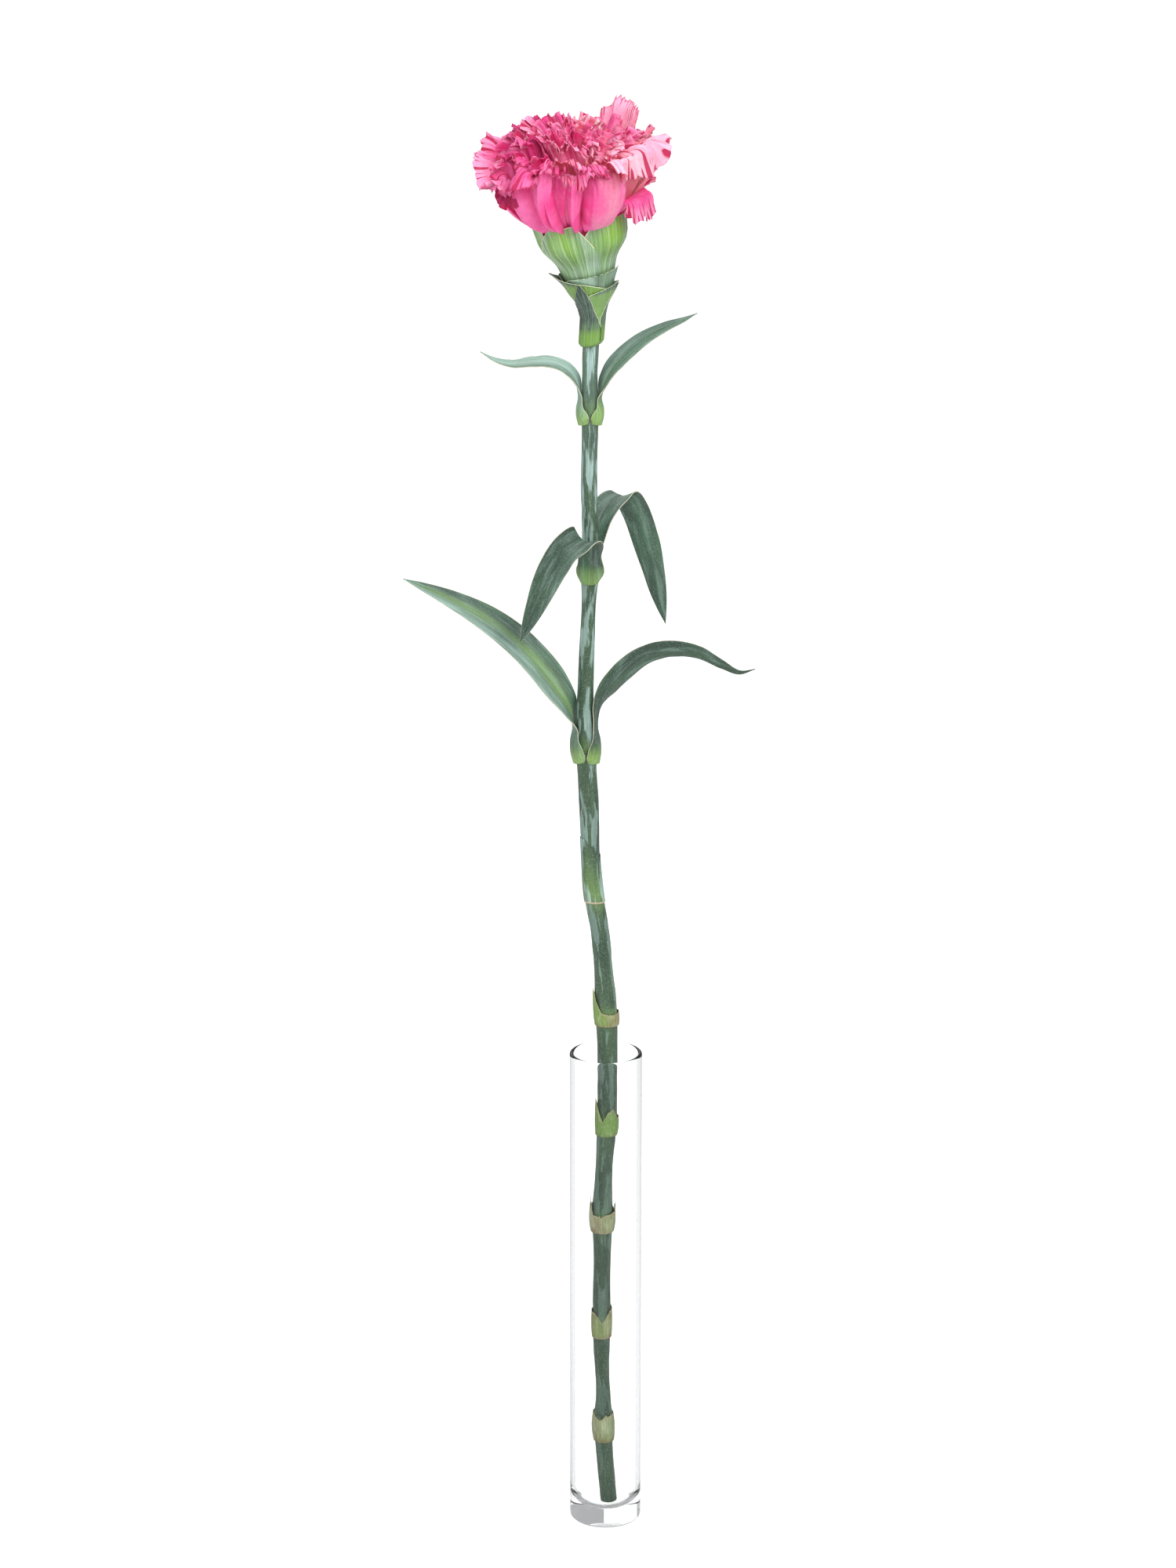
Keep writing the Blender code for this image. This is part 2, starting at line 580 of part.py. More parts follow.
def make_leaf(name, finish, shape):
    middle = leaf_surface(rows=LEAF_ROWS, columns=LEAF_ACROSS, **shape)
    rows = np.linspace(0.0, 1.0, LEAF_ROWS)[:, None]
    thick = LEAF_THICK * (1.0 - 0.55 * rows**3) * np.ones((1, LEAF_ACROSS))
    return add_piece(name, sheet_solid(middle, thick), sheet_faces(LEAF_ROWS, LEAF_ACROSS), finish)


# Stripped joints from the lowest up: name, foot height, top height, swell, slant, direction of the high side, teeth.
COLLARS = (
    ("leaf_scar_1", 30.0, 40.0, 0.75, 2.0, 180.0, 0.0),
    ("leaf_scar_2", 70.0, 80.0, 0.70, 3.0, 20.0, 0.0),
    ("leaf_scar_3", 110.5, 118.5, 1.70, 1.5, 20.0, 0.5),
    ("leaf_scar_4", 147.0, 154.0, 0.85, 5.0, -150.0, 0.0),
    ("leaf_scar_5", 188.0, 194.0, 0.85, 5.5, 180.0, 0.0),
    ("leaf_scar_6", 233.5, 251.0, 0.45, 9.0, 170.0, 0.0),
)


def main():
    for old in list(bpy.data.objects):
        bpy.data.objects.remove(old)
    head = bpy.data.objects.new("flower_head", None)
    head.location = Vector(HEAD_BASE) * MM
    head.rotation_euler = head_turn().to_euler()
    bpy.context.scene.collection.objects.link(head)

    make_vase("clear_glass")
    make_stem("waxy_stem", Matrix.Translation(HEAD_BASE) @ head_turn())
    for row in COLLARS:
        make_collar(row[0], "dry_sheath", *row[1:])
    for name, shape in LEAVES.items():
        make_leaf(name, "waxy_leaf", shape)
    for row in BRACTS:
        make_bract("calyx_green", head, *row)
    make_calyx("calyx_green", head)
    make_pistil("pistil_cream", head)
    make_petals("petal_pink", head)


main()
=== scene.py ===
import math

import bpy
import numpy as np
from mathutils import Matrix, Vector


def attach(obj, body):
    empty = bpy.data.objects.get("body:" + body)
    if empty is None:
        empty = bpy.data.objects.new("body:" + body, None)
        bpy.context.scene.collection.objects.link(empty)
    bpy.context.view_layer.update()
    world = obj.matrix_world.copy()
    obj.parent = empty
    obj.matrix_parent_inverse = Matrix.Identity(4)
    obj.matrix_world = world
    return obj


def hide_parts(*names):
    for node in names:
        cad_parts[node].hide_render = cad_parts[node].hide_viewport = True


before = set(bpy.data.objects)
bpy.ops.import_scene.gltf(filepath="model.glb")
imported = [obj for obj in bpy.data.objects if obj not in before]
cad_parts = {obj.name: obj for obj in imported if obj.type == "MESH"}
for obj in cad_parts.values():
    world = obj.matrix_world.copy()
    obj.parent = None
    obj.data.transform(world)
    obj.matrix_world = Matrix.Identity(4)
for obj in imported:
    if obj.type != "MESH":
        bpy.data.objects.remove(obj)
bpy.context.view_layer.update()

# Everything below is worked out in millimetres and becomes metres when a mesh is filled.
# +Z is up, -Y faces the viewer, and the origin is the centre of the vase's foot.
mm = 0.001


def smooth(t):
    # S-shaped step: 3t^2 - 2t^3 between 0 and 1
    t = np.clip(t, 0.0, 1.0)
    return t * t * (3.0 - 2.0 * t)


def blend(a, b, share):
    # straight mix: a at share 0, b at share 1
    return a + (b - a) * share


def softNoise(x, seed):
    # one-dimensional value noise: random heights at whole numbers, joined by S-shaped steps
    table = np.random.default_rng(seed).uniform(-1.0, 1.0, 512)
    x = np.asarray(x, float)
    cell = np.floor(x).astype(int)
    step = smooth(x - cell)
    return blend(table[cell % 512], table[(cell + 1) % 512], step)


def curveThrough(knots, points, share):
    # cubic Hermite curve through the points, whose slopes are the average slopes at the knots
    knots = np.asarray(knots, float)
    points = np.asarray(points, float)
    slopes = np.gradient(points, knots, axis=0)
    share = np.clip(np.asarray(share, float), knots[0], knots[-1])
    i = np.clip(np.searchsorted(knots, share, side="right") - 1, 0, len(knots) - 2)
    width = (knots[i + 1] - knots[i])[..., None]
    t = (share - knots[i])[..., None] / width
    start = (2 * t**3 - 3 * t**2 + 1) * points[i] + (t**3 - 2 * t**2 + t) * width * slopes[i]
    end = (3 * t**2 - 2 * t**3) * points[i + 1] + (t**3 - t**2) * width * slopes[i + 1]
    return start + end


def unit(v):
    return v / np.maximum(np.linalg.norm(v, axis=-1, keepdims=True), 1e-9)


def sheetNormals(middle):
    # unit normals of a rows x columns sheet: across x along
    return unit(np.cross(np.gradient(middle, axis=1), np.gradient(middle, axis=0)))


def fillMesh(name, points, faces, uv, floats, vectors):
    # points in mm, faces as lists of indices, uv per point, point attributes by name
    mesh = bpy.data.meshes.new(name)
    mesh.from_pydata((points * mm).tolist(), [], faces)
    layer = mesh.uv_layers.new(name="pieceUv")
    corners = np.empty(len(mesh.loops), dtype=np.int32)
    mesh.loops.foreach_get("vertex_index", corners)
    layer.data.foreach_set("uv", uv[corners].astype(np.float32).ravel())
    for key, values in floats.items():
        mesh.attributes.new(key, "FLOAT", "POINT").data.foreach_set("value", values.astype(np.float32).ravel())
    for key, values in vectors.items():
        mesh.attributes.new(key, "FLOAT_VECTOR", "POINT").data.foreach_set(
            "vector", values.astype(np.float32).ravel())
    mesh.shade_smooth()
    mesh.update()
    piece = bpy.data.objects.new(name, mesh)
    bpy.context.scene.collection.objects.link(piece)
    return piece


def gridQuads(rows, columns, wrap, offset, flip):
    # quads of a rows x columns grid of points that starts at offset, joined end to end when wrap is on
    i = np.arange(rows - 1)[:, None]
    j = np.arange(columns if wrap else columns - 1)[None, :]
    k = (j + 1) % columns
    a, b = i * columns + j, i * columns + k
    quads = np.stack([a, b, b + columns, a + columns], -1).reshape(-1, 4) + offset
    return quads[:, ::-1] if flip else quads


def poleFaces(rows, columns):
    # triangles that close the first ring of a grid to point rows * columns and the last ring to the point after it
    j = np.arange(columns)
    after, last, pole = (j + 1) % columns, (rows - 1) * columns, rows * columns
    first = np.stack([np.full(columns, pole), after, j], -1)
    return first.tolist() + np.stack([np.full(columns, pole + 1), last + j, last + after], -1).tolist()


def sheetParts(middle, thickness):
    # a closed thin solid round a sheet: the sheet moved half the thickness each way, joined by a rim
    rows, columns = middle.shape[:2]
    half = np.asarray(thickness)[..., None] / 2 * sheetNormals(middle)
    points = np.concatenate([(middle + half).reshape(-1, 3), (middle - half).reshape(-1, 3)])
    count = rows * columns
    rim = np.concatenate([np.arange(columns), np.arange(1, rows) * columns + columns - 1,
                          (rows - 1) * columns + np.arange(columns - 2, -1, -1),
                          np.arange(rows - 2, 0, -1) * columns])
    after = np.roll(rim, -1)
    quads = np.concatenate([gridQuads(rows, columns, False, 0, False), gridQuads(rows, columns, False, count, True),
                            np.stack([after, rim, rim + count, after + count], -1)])
    return points, quads


def joinParts(name, parts):
    # one mesh from several closed parts: (points, quads, uv, floats, vectors)
    points, faces, uv = [], [], []
    floats, vectors = {}, {}
    offset = 0
    for part in parts:
        points.append(part[0])
        faces += (part[1] + offset).tolist()
        uv.append(part[2])
        for key, values in part[3].items():
            floats.setdefault(key, []).append(values.reshape(-1))
        for key, values in part[4].items():
            vectors.setdefault(key, []).append(values.reshape(-1, 3))
        offset += len(part[0])
    return fillMesh(name, np.concatenate(points), faces, np.concatenate(uv),
                    {k: np.concatenate(v) for k, v in floats.items()},
                    {k: np.concatenate(v) for k, v in vectors.items()})


def twoSided(points, quads, rows, columns, floats, grain):
    # a part for joinParts whose two sides share uv, attributes and grain; the attribute under is 1 on the first side
    u, v = np.meshgrid(np.linspace(0, 1, columns), np.linspace(0, 1, rows))
    uv = np.tile(np.stack([u, v], -1).reshape(-1, 2), (2, 1))
    both = {key: np.tile(np.broadcast_to(f, (rows, columns)).reshape(-1), 2) for key, f in floats.items()}
    both["under"] = np.repeat([1.0, 0.0], rows * columns)
    return points, quads, uv, both, {"grain": np.tile(grain.reshape(-1, 3), (2, 1))}


def sheetPart(middle, thickness, floats, grain):
    return twoSided(*sheetParts(middle, thickness), *middle.shape[:2], floats, grain)


def shellPart(outer, inner, floats, grain):
    # a closed hollow ring: outer and inner walls of rows x columns points, joined at the foot and at the top
    rows, columns = outer.shape[:2]
    count = rows * columns
    first = np.arange(columns)
    after = (first + 1) % columns
    top = (rows - 1) * columns
    quads = np.concatenate([gridQuads(rows, columns, True, 0, False), gridQuads(rows, columns, True, count, True),
                            np.stack([after, first, first + count, after + count], -1),
                            np.stack([first + top, after + top, after + top + count, first + top + count], -1)])
    points = np.concatenate([outer.reshape(-1, 3), inner.reshape(-1, 3)])
    return twoSided(points, quads, rows, columns, floats, grain)


def addNode(tree, kind, **settings):
    # a new node in the next free place of a grid, eight to a row
    node = tree.nodes.new(kind)
    made = len(tree.nodes)
    node.location = (200 * (made % 8), -250 * (made // 8))
    for key, value in settings.items():
        setattr(node, key, value)
    return node


def setInputs(node, values):
    for key, value in values.items():
        node.inputs[key].default_value = value
    return node


def wire(tree, *pairs):
    for output, target in pairs:
        tree.links.new(output, target)


def feed(tree, target, value):
    # an input takes a wire from another node, a colour or a number
    if isinstance(value, bpy.types.NodeSocket):
        wire(tree, (value, target))
    elif value is not None:
        target.default_value = (*value, 1.0) if isinstance(value, tuple) else value


def newMaterial(name):
    made = bpy.data.materials.new(name)
    made.use_nodes = True
    return made, made.node_tree, made.node_tree.nodes["Principled BSDF"]


def attributeNode(tree, name):
    return addNode(tree, "ShaderNodeAttribute", attribute_type="GEOMETRY", attribute_name=name)


def objectNoise(tree, scale, detail):
    # plain noise on the piece's own coordinates
    noise = setInputs(addNode(tree, "ShaderNodeTexNoise"), {"Scale": scale, "Detail": detail})
    wire(tree, (addNode(tree, "ShaderNodeTexCoord").outputs["Object"], noise.inputs["Vector"]))
    return noise.outputs["Fac"]


def mixColour(tree, a, b, share):
    # a at share 0, b at share 1
    node = addNode(tree, "ShaderNodeMix", data_type="RGBA")
    for index, value in ((6, a), (7, b), (0, share)):
        feed(tree, node.inputs[index], value)
    return node.outputs[2]


def mathNode(tree, operation, a, b=None, c=None, clamp=False):
    node = addNode(tree, "ShaderNodeMath", operation=operation, use_clamp=clamp)
    for index, value in enumerate((a, b, c)):
        feed(tree, node.inputs[index], value)
    return node.outputs[0]


def rangeNode(tree, value, low, high, newLow=0.0, newHigh=1.0, kind="SMOOTHSTEP"):
    # newLow where the value is at or before low, newHigh where it is at or past high
    node = addNode(tree, "ShaderNodeMapRange", interpolation_type=kind, clamp=True)
    for label, number in (("Value", value), ("From Min", low), ("From Max", high), ("To Min", newLow),
                          ("To Max", newHigh)):
        feed(tree, node.inputs[label], number)
    return node.outputs["Result"]


def makeGrainGroup():
    # noise drawn out lengthwise: the grain attribute holds mm across in x and y and mm along in z
    tree = bpy.data.node_groups.new("lengthwiseGrain", "ShaderNodeTree")
    tree.interface.new_socket(name="Grain", in_out="INPUT", socket_type="NodeSocketVector")
    for label, first in (("Across", 1.0), ("Along", 0.1), ("Low", 0.35), ("High", 0.65), ("Seed", 0.0)):
        tree.interface.new_socket(name=label, in_out="INPUT", socket_type="NodeSocketFloat").default_value = first
    tree.interface.new_socket(name="Mask", in_out="OUTPUT", socket_type="NodeSocketFloat")
    given, result = addNode(tree, "NodeGroupInput").outputs, addNode(tree, "NodeGroupOutput").inputs
    scale = addNode(tree, "ShaderNodeCombineXYZ")
    spread = addNode(tree, "ShaderNodeVectorMath", operation="MULTIPLY")
    noise = addNode(tree, "ShaderNodeTexNoise", noise_dimensions="4D")
    setInputs(noise, {"Scale": 1.0, "Detail": 3.0, "Roughness": 0.55})
    wire(tree, (given["Across"], scale.inputs[0]), (given["Across"], scale.inputs[1]),
         (given["Along"], scale.inputs[2]),
         (given["Grain"], spread.inputs[0]), (scale.outputs[0], spread.inputs[1]),
         (spread.outputs[0], noise.inputs["Vector"]), (given["Seed"], noise.inputs["W"]))
    wire(tree, (rangeNode(tree, noise.outputs["Fac"], given["Low"], given["High"]), result["Mask"]))
    return tree


grainGroup = makeGrainGroup()


def grainMask(tree, grain, across, along, low, high, seed):
    # across and along are cycles per mm; the mask rises from 0 to 1 between low and high
    node = addNode(tree, "ShaderNodeGroup")
    node.node_tree = grainGroup
    setInputs(node, {"Across": across, "Along": along, "Low": low, "High": high, "Seed": seed})
    wire(tree, (grain, node.inputs["Grain"]))
    return node.outputs["Mask"]


def bumpFrom(tree, shader, height, strength, distance):
    bump = setInputs(addNode(tree, "ShaderNodeBump"), {"Strength": strength, "Distance": distance * mm})
    wire(tree, (height, bump.inputs["Height"]), (bump.outputs["Normal"], shader.inputs["Normal"]))


def makeWaxyMaterial(look):
    # dark and mid green in broad clouds, made fresher or darker by tone, then pale wax in patches, fine lines or
    # ribs, specks, and a rim where edge nears 1. Bloom adds to the wax everywhere
    made, tree, shader = newMaterial(look["name"])
    grain = attributeNode(tree, "grain").outputs["Vector"]
    tone, edge, bloom = (attributeNode(tree, name).outputs["Fac"] for name in ("tone", "edge", "bloom"))
    broad = grainMask(tree, grain, *look["broad"], 0.36, 0.64, 1.0)
    patch = grainMask(tree, grain, *look["patch"], *look["patchCover"], 2.0)
    lines = grainMask(tree, grain, *look["lines"], *look["lineCover"], 3.0)
    speck = grainMask(tree, grain, *look["speck"], 0.52, 0.72, 4.0)
    green = mixColour(tree, look["deep"], look["green"], broad)
    green = mixColour(tree, green, look["fresh"], rangeNode(tree, tone, 0.0, 1.0))
    green = mixColour(tree, green, look["deep"], rangeNode(tree, tone, 0.0, -1.0))
    waxShare = mathNode(tree, "MULTIPLY_ADD", patch, look["waxAmount"], bloom, clamp=True)
    waxy = mixColour(tree, green, look["wax"], waxShare)
    lined = mixColour(tree, waxy, look["line"], mathNode(tree, "MULTIPLY", lines, look["lineAmount"]))
    if "veins" in look:  # one rib midway between whole numbers of the attribute around, swung by the broad clouds
        swing = mathNode(tree, "MULTIPLY_ADD", broad, 0.5, attributeNode(tree, "around").outputs["Fac"])
        beside = mathNode(tree, "SUBTRACT", mathNode(tree, "FRACT", swing), 0.5)
        narrow = rangeNode(tree, mathNode(tree, "ABSOLUTE", beside), 0.12, 0.02)
        ribs = mathNode(tree, "MULTIPLY", narrow, mathNode(tree, "ADD", lines, 0.35), clamp=True)
        ribs = mathNode(tree, "MULTIPLY", ribs, rangeNode(tree, bloom, 0.0, 0.4, 0.35, 1.0))
        lined = mixColour(tree, lined, look["line"], mathNode(tree, "MULTIPLY", ribs, look["veins"]))
    specked = mixColour(tree, lined, look["wax"], mathNode(tree, "MULTIPLY", speck, look["speckAmount"]))
    rimmed = mixColour(tree, specked, look["rim"], rangeNode(tree, edge, *look["rimFrom"]))
    rough = rangeNode(tree, patch, 0.0, 1.0, *look["roughness"], kind="LINEAR")
    wire(tree, (rimmed, shader.inputs["Base Color"]), (rough, shader.inputs["Roughness"]))
    setInputs(shader, {"Subsurface Weight": look["glow"], "Subsurface Radius": (0.9, 1.0, 0.4),
                       "Subsurface Scale": 0.0008, "Specular IOR Level": 0.45})
    bumpFrom(tree, shader, mathNode(tree, "ADD", lines, speck), look["bump"], 0.12)
    return made


# colours are linear; broad, patch, lines and speck are cycles per mm across and along
stemLook = {"name": "waxyStem", "deep": (0.028, 0.056, 0.024), "green": (0.070, 0.125, 0.055),
            "fresh": (0.20, 0.34, 0.08), "wax": (0.48, 0.66, 0.62), "line": (0.03, 0.07, 0.05),
            "rim": (0.20, 0.17, 0.09), "broad": (0.30, 0.04), "patch": (0.36, 0.055), "patchCover": (0.47, 0.56),
            "waxAmount": 0.72, "lines": (3.2, 0.05), "lineCover": (0.30, 0.70), "lineAmount": 0.55,
            "speck": (3.6, 1.6), "speckAmount": 0.30, "rimFrom": (0.6, 1.0), "roughness": (0.38, 0.62), "glow": 0.05,
            "bump": 0.35}
leafLook = {"name": "waxyLeaf", "deep": (0.012, 0.032, 0.016), "green": (0.042, 0.115, 0.050),
            "fresh": (0.27, 0.46, 0.09), "wax": (0.40, 0.58, 0.50), "line": (0.03, 0.06, 0.04),
            "rim": (0.50, 0.50, 0.36), "broad": (0.30, 0.04), "patch": (0.55, 0.07), "patchCover": (0.46, 0.66),
            "waxAmount": 0.22, "lines": (2.4, 0.04), "lineCover": (0.30, 0.70), "lineAmount": 0.45,
            "speck": (3.6, 2.2), "speckAmount": 0.30, "rimFrom": (0.965, 0.998), "roughness": (0.42, 0.60),
            "glow": 0.06, "bump": 0.30}
bractLook = {"name": "waxyBract", "deep": (0.024, 0.048, 0.038), "green": (0.09, 0.17, 0.07),
             "fresh": (0.15, 0.30, 0.03), "wax": (0.40, 0.58, 0.44), "line": (0.36, 0.50, 0.36),
             "rim": (0.60, 0.68, 0.42), "broad": (0.30, 0.10), "patch": (0.40, 0.12), "patchCover": (0.50, 0.72),
             "waxAmount": 0.16, "lines": (2.6, 0.03), "lineCover": (0.46, 0.60), "lineAmount": 0.25,
             "speck": (2.5, 0.6), "speckAmount": 0.15, "veins": 0.30, "rimFrom": (0.94, 0.99),
             "roughness": (0.36, 0.50), "glow": 0.08, "bump": 0.30}
calyxLook = {"name": "calyxSkin", "deep": (0.055, 0.14, 0.02), "green": (0.13, 0.29, 0.035),
             "fresh": (0.20, 0.42, 0.03), "wax": (0.38, 0.52, 0.46), "line": (0.60, 0.74, 0.52),
             "rim": (0.70, 0.72, 0.40), "broad": (0.30, 0.08), "patch": (0.35, 0.07), "patchCover": (0.50, 0.68),
             "waxAmount": 0.22, "lines": (2.6, 0.02), "lineCover": (0.46, 0.58), "lineAmount": 0.30,
             "speck": (3.0, 0.8), "speckAmount": 0.12, "veins": 0.60, "rimFrom": (0.95, 0.99),
             "roughness": (0.34, 0.46), "glow": 0.08, "bump": 0.35}
sheathLook = {"name": "drySheath", "deep": (0.24, 0.12, 0.07), "green": (0.36, 0.31, 0.18),
              "fresh": (0.19, 0.36, 0.07), "wax": (0.60, 0.66, 0.44), "line": (0.07, 0.09, 0.03),
              "rim": (0.42, 0.36, 0.22), "broad": (0.30, 0.20), "patch": (0.45, 0.20), "patchCover": (0.45, 0.65),
              "waxAmount": 0.30, "lines": (3.0, 0.06), "lineCover": (0.30, 0.70), "lineAmount": 0.45,
              "speck": (3.0, 1.0), "speckAmount": 0.30, "rimFrom": (0.55, 1.0), "roughness": (0.60, 0.80),
              "glow": 0.05, "bump": 0.45}
# the longest sheath is still green and looks like the stem, with a pale foot
scarLook = dict(stemLook, name="greenSheath", rim=(0.52, 0.44, 0.30))
stemMaterial, leafMaterial, bractMaterial, calyxMaterial, sheathMaterial, scarMaterial = (
    makeWaxyMaterial(look) for look in (stemLook, leafLook, bractLook, calyxLook, sheathLook, scarLook))

# glow sets the petals' faint emission, a painted glow that lifts the shaded crevices
petalLook = {
    "hot": (0.80, 0.060, 0.26), "warm": (0.88, 0.15, 0.38), "pale": (0.95, 0.40, 0.52), "cream": (0.95, 0.62, 0.56),
    "dark": (0.30, 0.008, 0.06), "salmon": (0.80, 0.20, 0.26), "vein": (0.70, 0.02, 0.19),
    "margin": (0.95, 0.48, 0.60), "streak": (0.38, 0.003, 0.055), "throat": (0.90, 0.45, 0.48), "veinAmount": 0.20,
    "streaksPerMm": 1.05, "streakWander": 1.6, "streakLength": 7.0, "streakRarity": 1.25, "streakHalfWidth": 0.38,
    "darkTip": (1.1, 0.1), "paleReach": (8.0, 2.0), "paleMost": (0.02, 0.48), "roughness": (0.53, 0.66), "glow": 0.07,
}


def makePetalMaterial(look):
    # grain holds mm across in x, mm from the margin in y and the petal's own number in z. The ground goes from hot
    # to warm pink in clouds, then to pale and cream or to dark by tone, and to salmon on the outward side of pale
    # petals. Tone also carries painted light: painted shade in the folds' hollows and a painted highlight on their
    # ridges. Over it come veins, a pale or dark margin, and streaks that run in from the margin
    made, tree, shader = newMaterial("petalSkin")
    grain = attributeNode(tree, "grain").outputs["Vector"]
    tone, reach, strength, under = (attributeNode(tree, name).outputs["Fac"]
                                    for name in ("tone", "reach", "streak", "under"))
    parts = addNode(tree, "ShaderNodeSeparateXYZ")
    wire(tree, (grain, parts.inputs[0]))
    sideways, depth, petalSeed = parts.outputs[0], parts.outputs[1], mathNode(tree, "ROUND", parts.outputs[2])
    cloud = grainMask(tree, grain, 0.14, 3.1, 0.34, 0.66, 11.0)
    veins = grainMask(tree, grain, 1.0, 3.1, 0.38, 0.66, 12.0)

    # one streak in each cell across, as long as the cell's random number says, tapering inwards
    bend = addNode(tree, "ShaderNodeVectorMath", operation="MULTIPLY")
    bend.inputs[1].default_value = (0.40, 0.04, 5.3)
    wander = setInputs(addNode(tree, "ShaderNodeTexNoise"), {"Scale": 1.0, "Detail": 0.0})
    wire(tree, (grain, bend.inputs[0]), (bend.outputs[0], wander.inputs["Vector"]))
    swing = mathNode(tree, "MULTIPLY", wander.outputs["Fac"], look["streakWander"])
    across = mathNode(tree, "MULTIPLY_ADD", sideways, look["streaksPerMm"], swing)
    lot = addNode(tree, "ShaderNodeTexWhiteNoise", noise_dimensions="1D")
    wire(tree, (mathNode(tree, "MULTIPLY_ADD", petalSeed, 61.0, mathNode(tree, "FLOOR", across)), lot.inputs["W"]))
    long = mathNode(tree, "POWER", lot.outputs["Value"], look["streakRarity"])
    streakEnd = mathNode(tree, "MULTIPLY_ADD", mathNode(tree, "MULTIPLY", long, strength), look["streakLength"], 1.0)
    taper = mathNode(tree, "POWER", mathNode(tree, "DIVIDE", depth, streakEnd), 3.0)
    halfWidth = mathNode(tree, "MULTIPLY_ADD", taper, -0.36, look["streakHalfWidth"])
    offCentre = mathNode(tree, "ABSOLUTE", mathNode(tree, "MULTIPLY_ADD", mathNode(tree, "FRACT", across), 2.0, -1.0))
    stripes = mathNode(tree, "MULTIPLY", mathNode(tree, "SUBTRACT", halfWidth, offCentre), 8.0, clamp=True)

    # each petal draws one number: a low one gives it a dark margin, a high one a pale margin
    own = addNode(tree, "ShaderNodeTexWhiteNoise", noise_dimensions="1D")
    wire(tree, (petalSeed, own.inputs["W"]))
    darkTips = rangeNode(tree, own.outputs["Value"], 0.75, 0.25, 0.0, 0.75)
    tips = mathNode(tree, "MULTIPLY", rangeNode(tree, depth, *look["darkTip"]), darkTips)
    facing = rangeNode(tree, under, 0.0, 1.0, 0.95, 0.45)
    streaks = mathNode(tree, "MULTIPLY", mathNode(tree, "MAXIMUM", stripes, tips), facing)
    paleReach = rangeNode(tree, under, 0.0, 1.0, *look["paleReach"])
    paleMost = rangeNode(tree, own.outputs["Value"], 0.0, 1.0, *look["paleMost"], kind="LINEAR")
    paleShare = rangeNode(tree, depth, paleReach, 0.3, 0.0, paleMost)
    paleShare = mathNode(tree, "MULTIPLY", paleShare, rangeNode(tree, tone, -0.5, 0.0))

    toned = mixColour(tree, look["hot"], look["warm"], cloud)
    for name, low, high in (("pale", 0.0, 0.65), ("cream", 0.6, 1.0), ("dark", -0.1, -0.8)):
        toned = mixColour(tree, toned, look[name], rangeNode(tree, tone, low, high))
    outward = mathNode(tree, "MULTIPLY", rangeNode(tree, tone, 0.15, 0.6), under)
    toned = mixColour(tree, toned, look["salmon"], outward)
    veined = mixColour(tree, toned, look["vein"], mathNode(tree, "MULTIPLY", veins, look["veinAmount"]))
    streaked = mixColour(tree, mixColour(tree, veined, look["margin"], paleShare), look["streak"], streaks)
    skin = mixColour(tree, look["throat"], streaked, rangeNode(tree, reach, -0.25, 0.06))
    # the skin also feeds the emission: a faint painted glow that brightens the shaded crevices between the petals
    wire(tree, (skin, shader.inputs["Base Color"]), (skin, shader.inputs["Emission Color"]),
         (rangeNode(tree, veins, 0.0, 1.0, *look["roughness"]), shader.inputs["Roughness"]))
    setInputs(shader, {"Subsurface Weight": 0.35, "Subsurface Radius": (1.0, 0.25, 0.45), "Subsurface Scale": 0.0016,
                       "Emission Strength": look["glow"], "Sheen Weight": 0.08, "Sheen Roughness": 0.4,
                       "Sheen Tint": (1.0, 0.65, 0.80, 1.0), "Specular IOR Level": 0.3})
    bumpFrom(tree, shader, veins, 0.35, 0.12)
    return made


petalMaterial = makePetalMaterial(petalLook)

# the grey is painted shade for the glass's edges, where darker surroundings would show
glassLook = {"clear": (0.99, 0.995, 0.995), "clearer": (0.98, 0.99, 0.99), "paintedEdgeGrey": (0.42, 0.44, 0.46),
             "paintedEdgeFrom": (0.42, 0.96), "roughness": 0.03, "bend": 1.25, "mirror": 0.4}


def makeGlassMaterial(look):
    # clear where it faces the eye and greyer where it is seen edge on, with a barely rough surface. The grey is
    # painted shade, standing in for the darker surroundings that the edges of real glass show
    made, tree, shader = newMaterial("clearGlass")
    noise = objectNoise(tree, 90.0, 2.0)
    clear = mixColour(tree, look["clear"], look["clearer"], noise)
    grazing = setInputs(addNode(tree, "ShaderNodeLayerWeight"), {"Blend": 0.5}).outputs["Facing"]
    seen = mixColour(tree, clear, look["paintedEdgeGrey"], rangeNode(tree, grazing, *look["paintedEdgeFrom"]))
    wire(tree, (seen, shader.inputs["Base Color"]),
         (rangeNode(tree, noise, 0.3, 0.8, 0.0, look["roughness"]), shader.inputs["Roughness"]))
    setInputs(shader, {"Transmission Weight": 1.0, "IOR": look["bend"], "Metallic": 0.0,
                       "Specular Tint": (*[look["mirror"]] * 3, 1.0)})
    bumpFrom(tree, shader, noise, 0.04, 0.2)
    return made


glassMaterial = makeGlassMaterial(glassLook)
print("materials made")


def finishPiece(piece, material, slot, *nodes):
    piece.data.materials.append(material)
    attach(piece, "root")
    if nodes:
        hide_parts(*nodes)
    return piece


vaseShape = {"radius": 13.0, "height": 180.0, "wall": 1.5, "floor": 5.0, "footRound": 0.9, "dish": 7.0,
             "segments": 160}


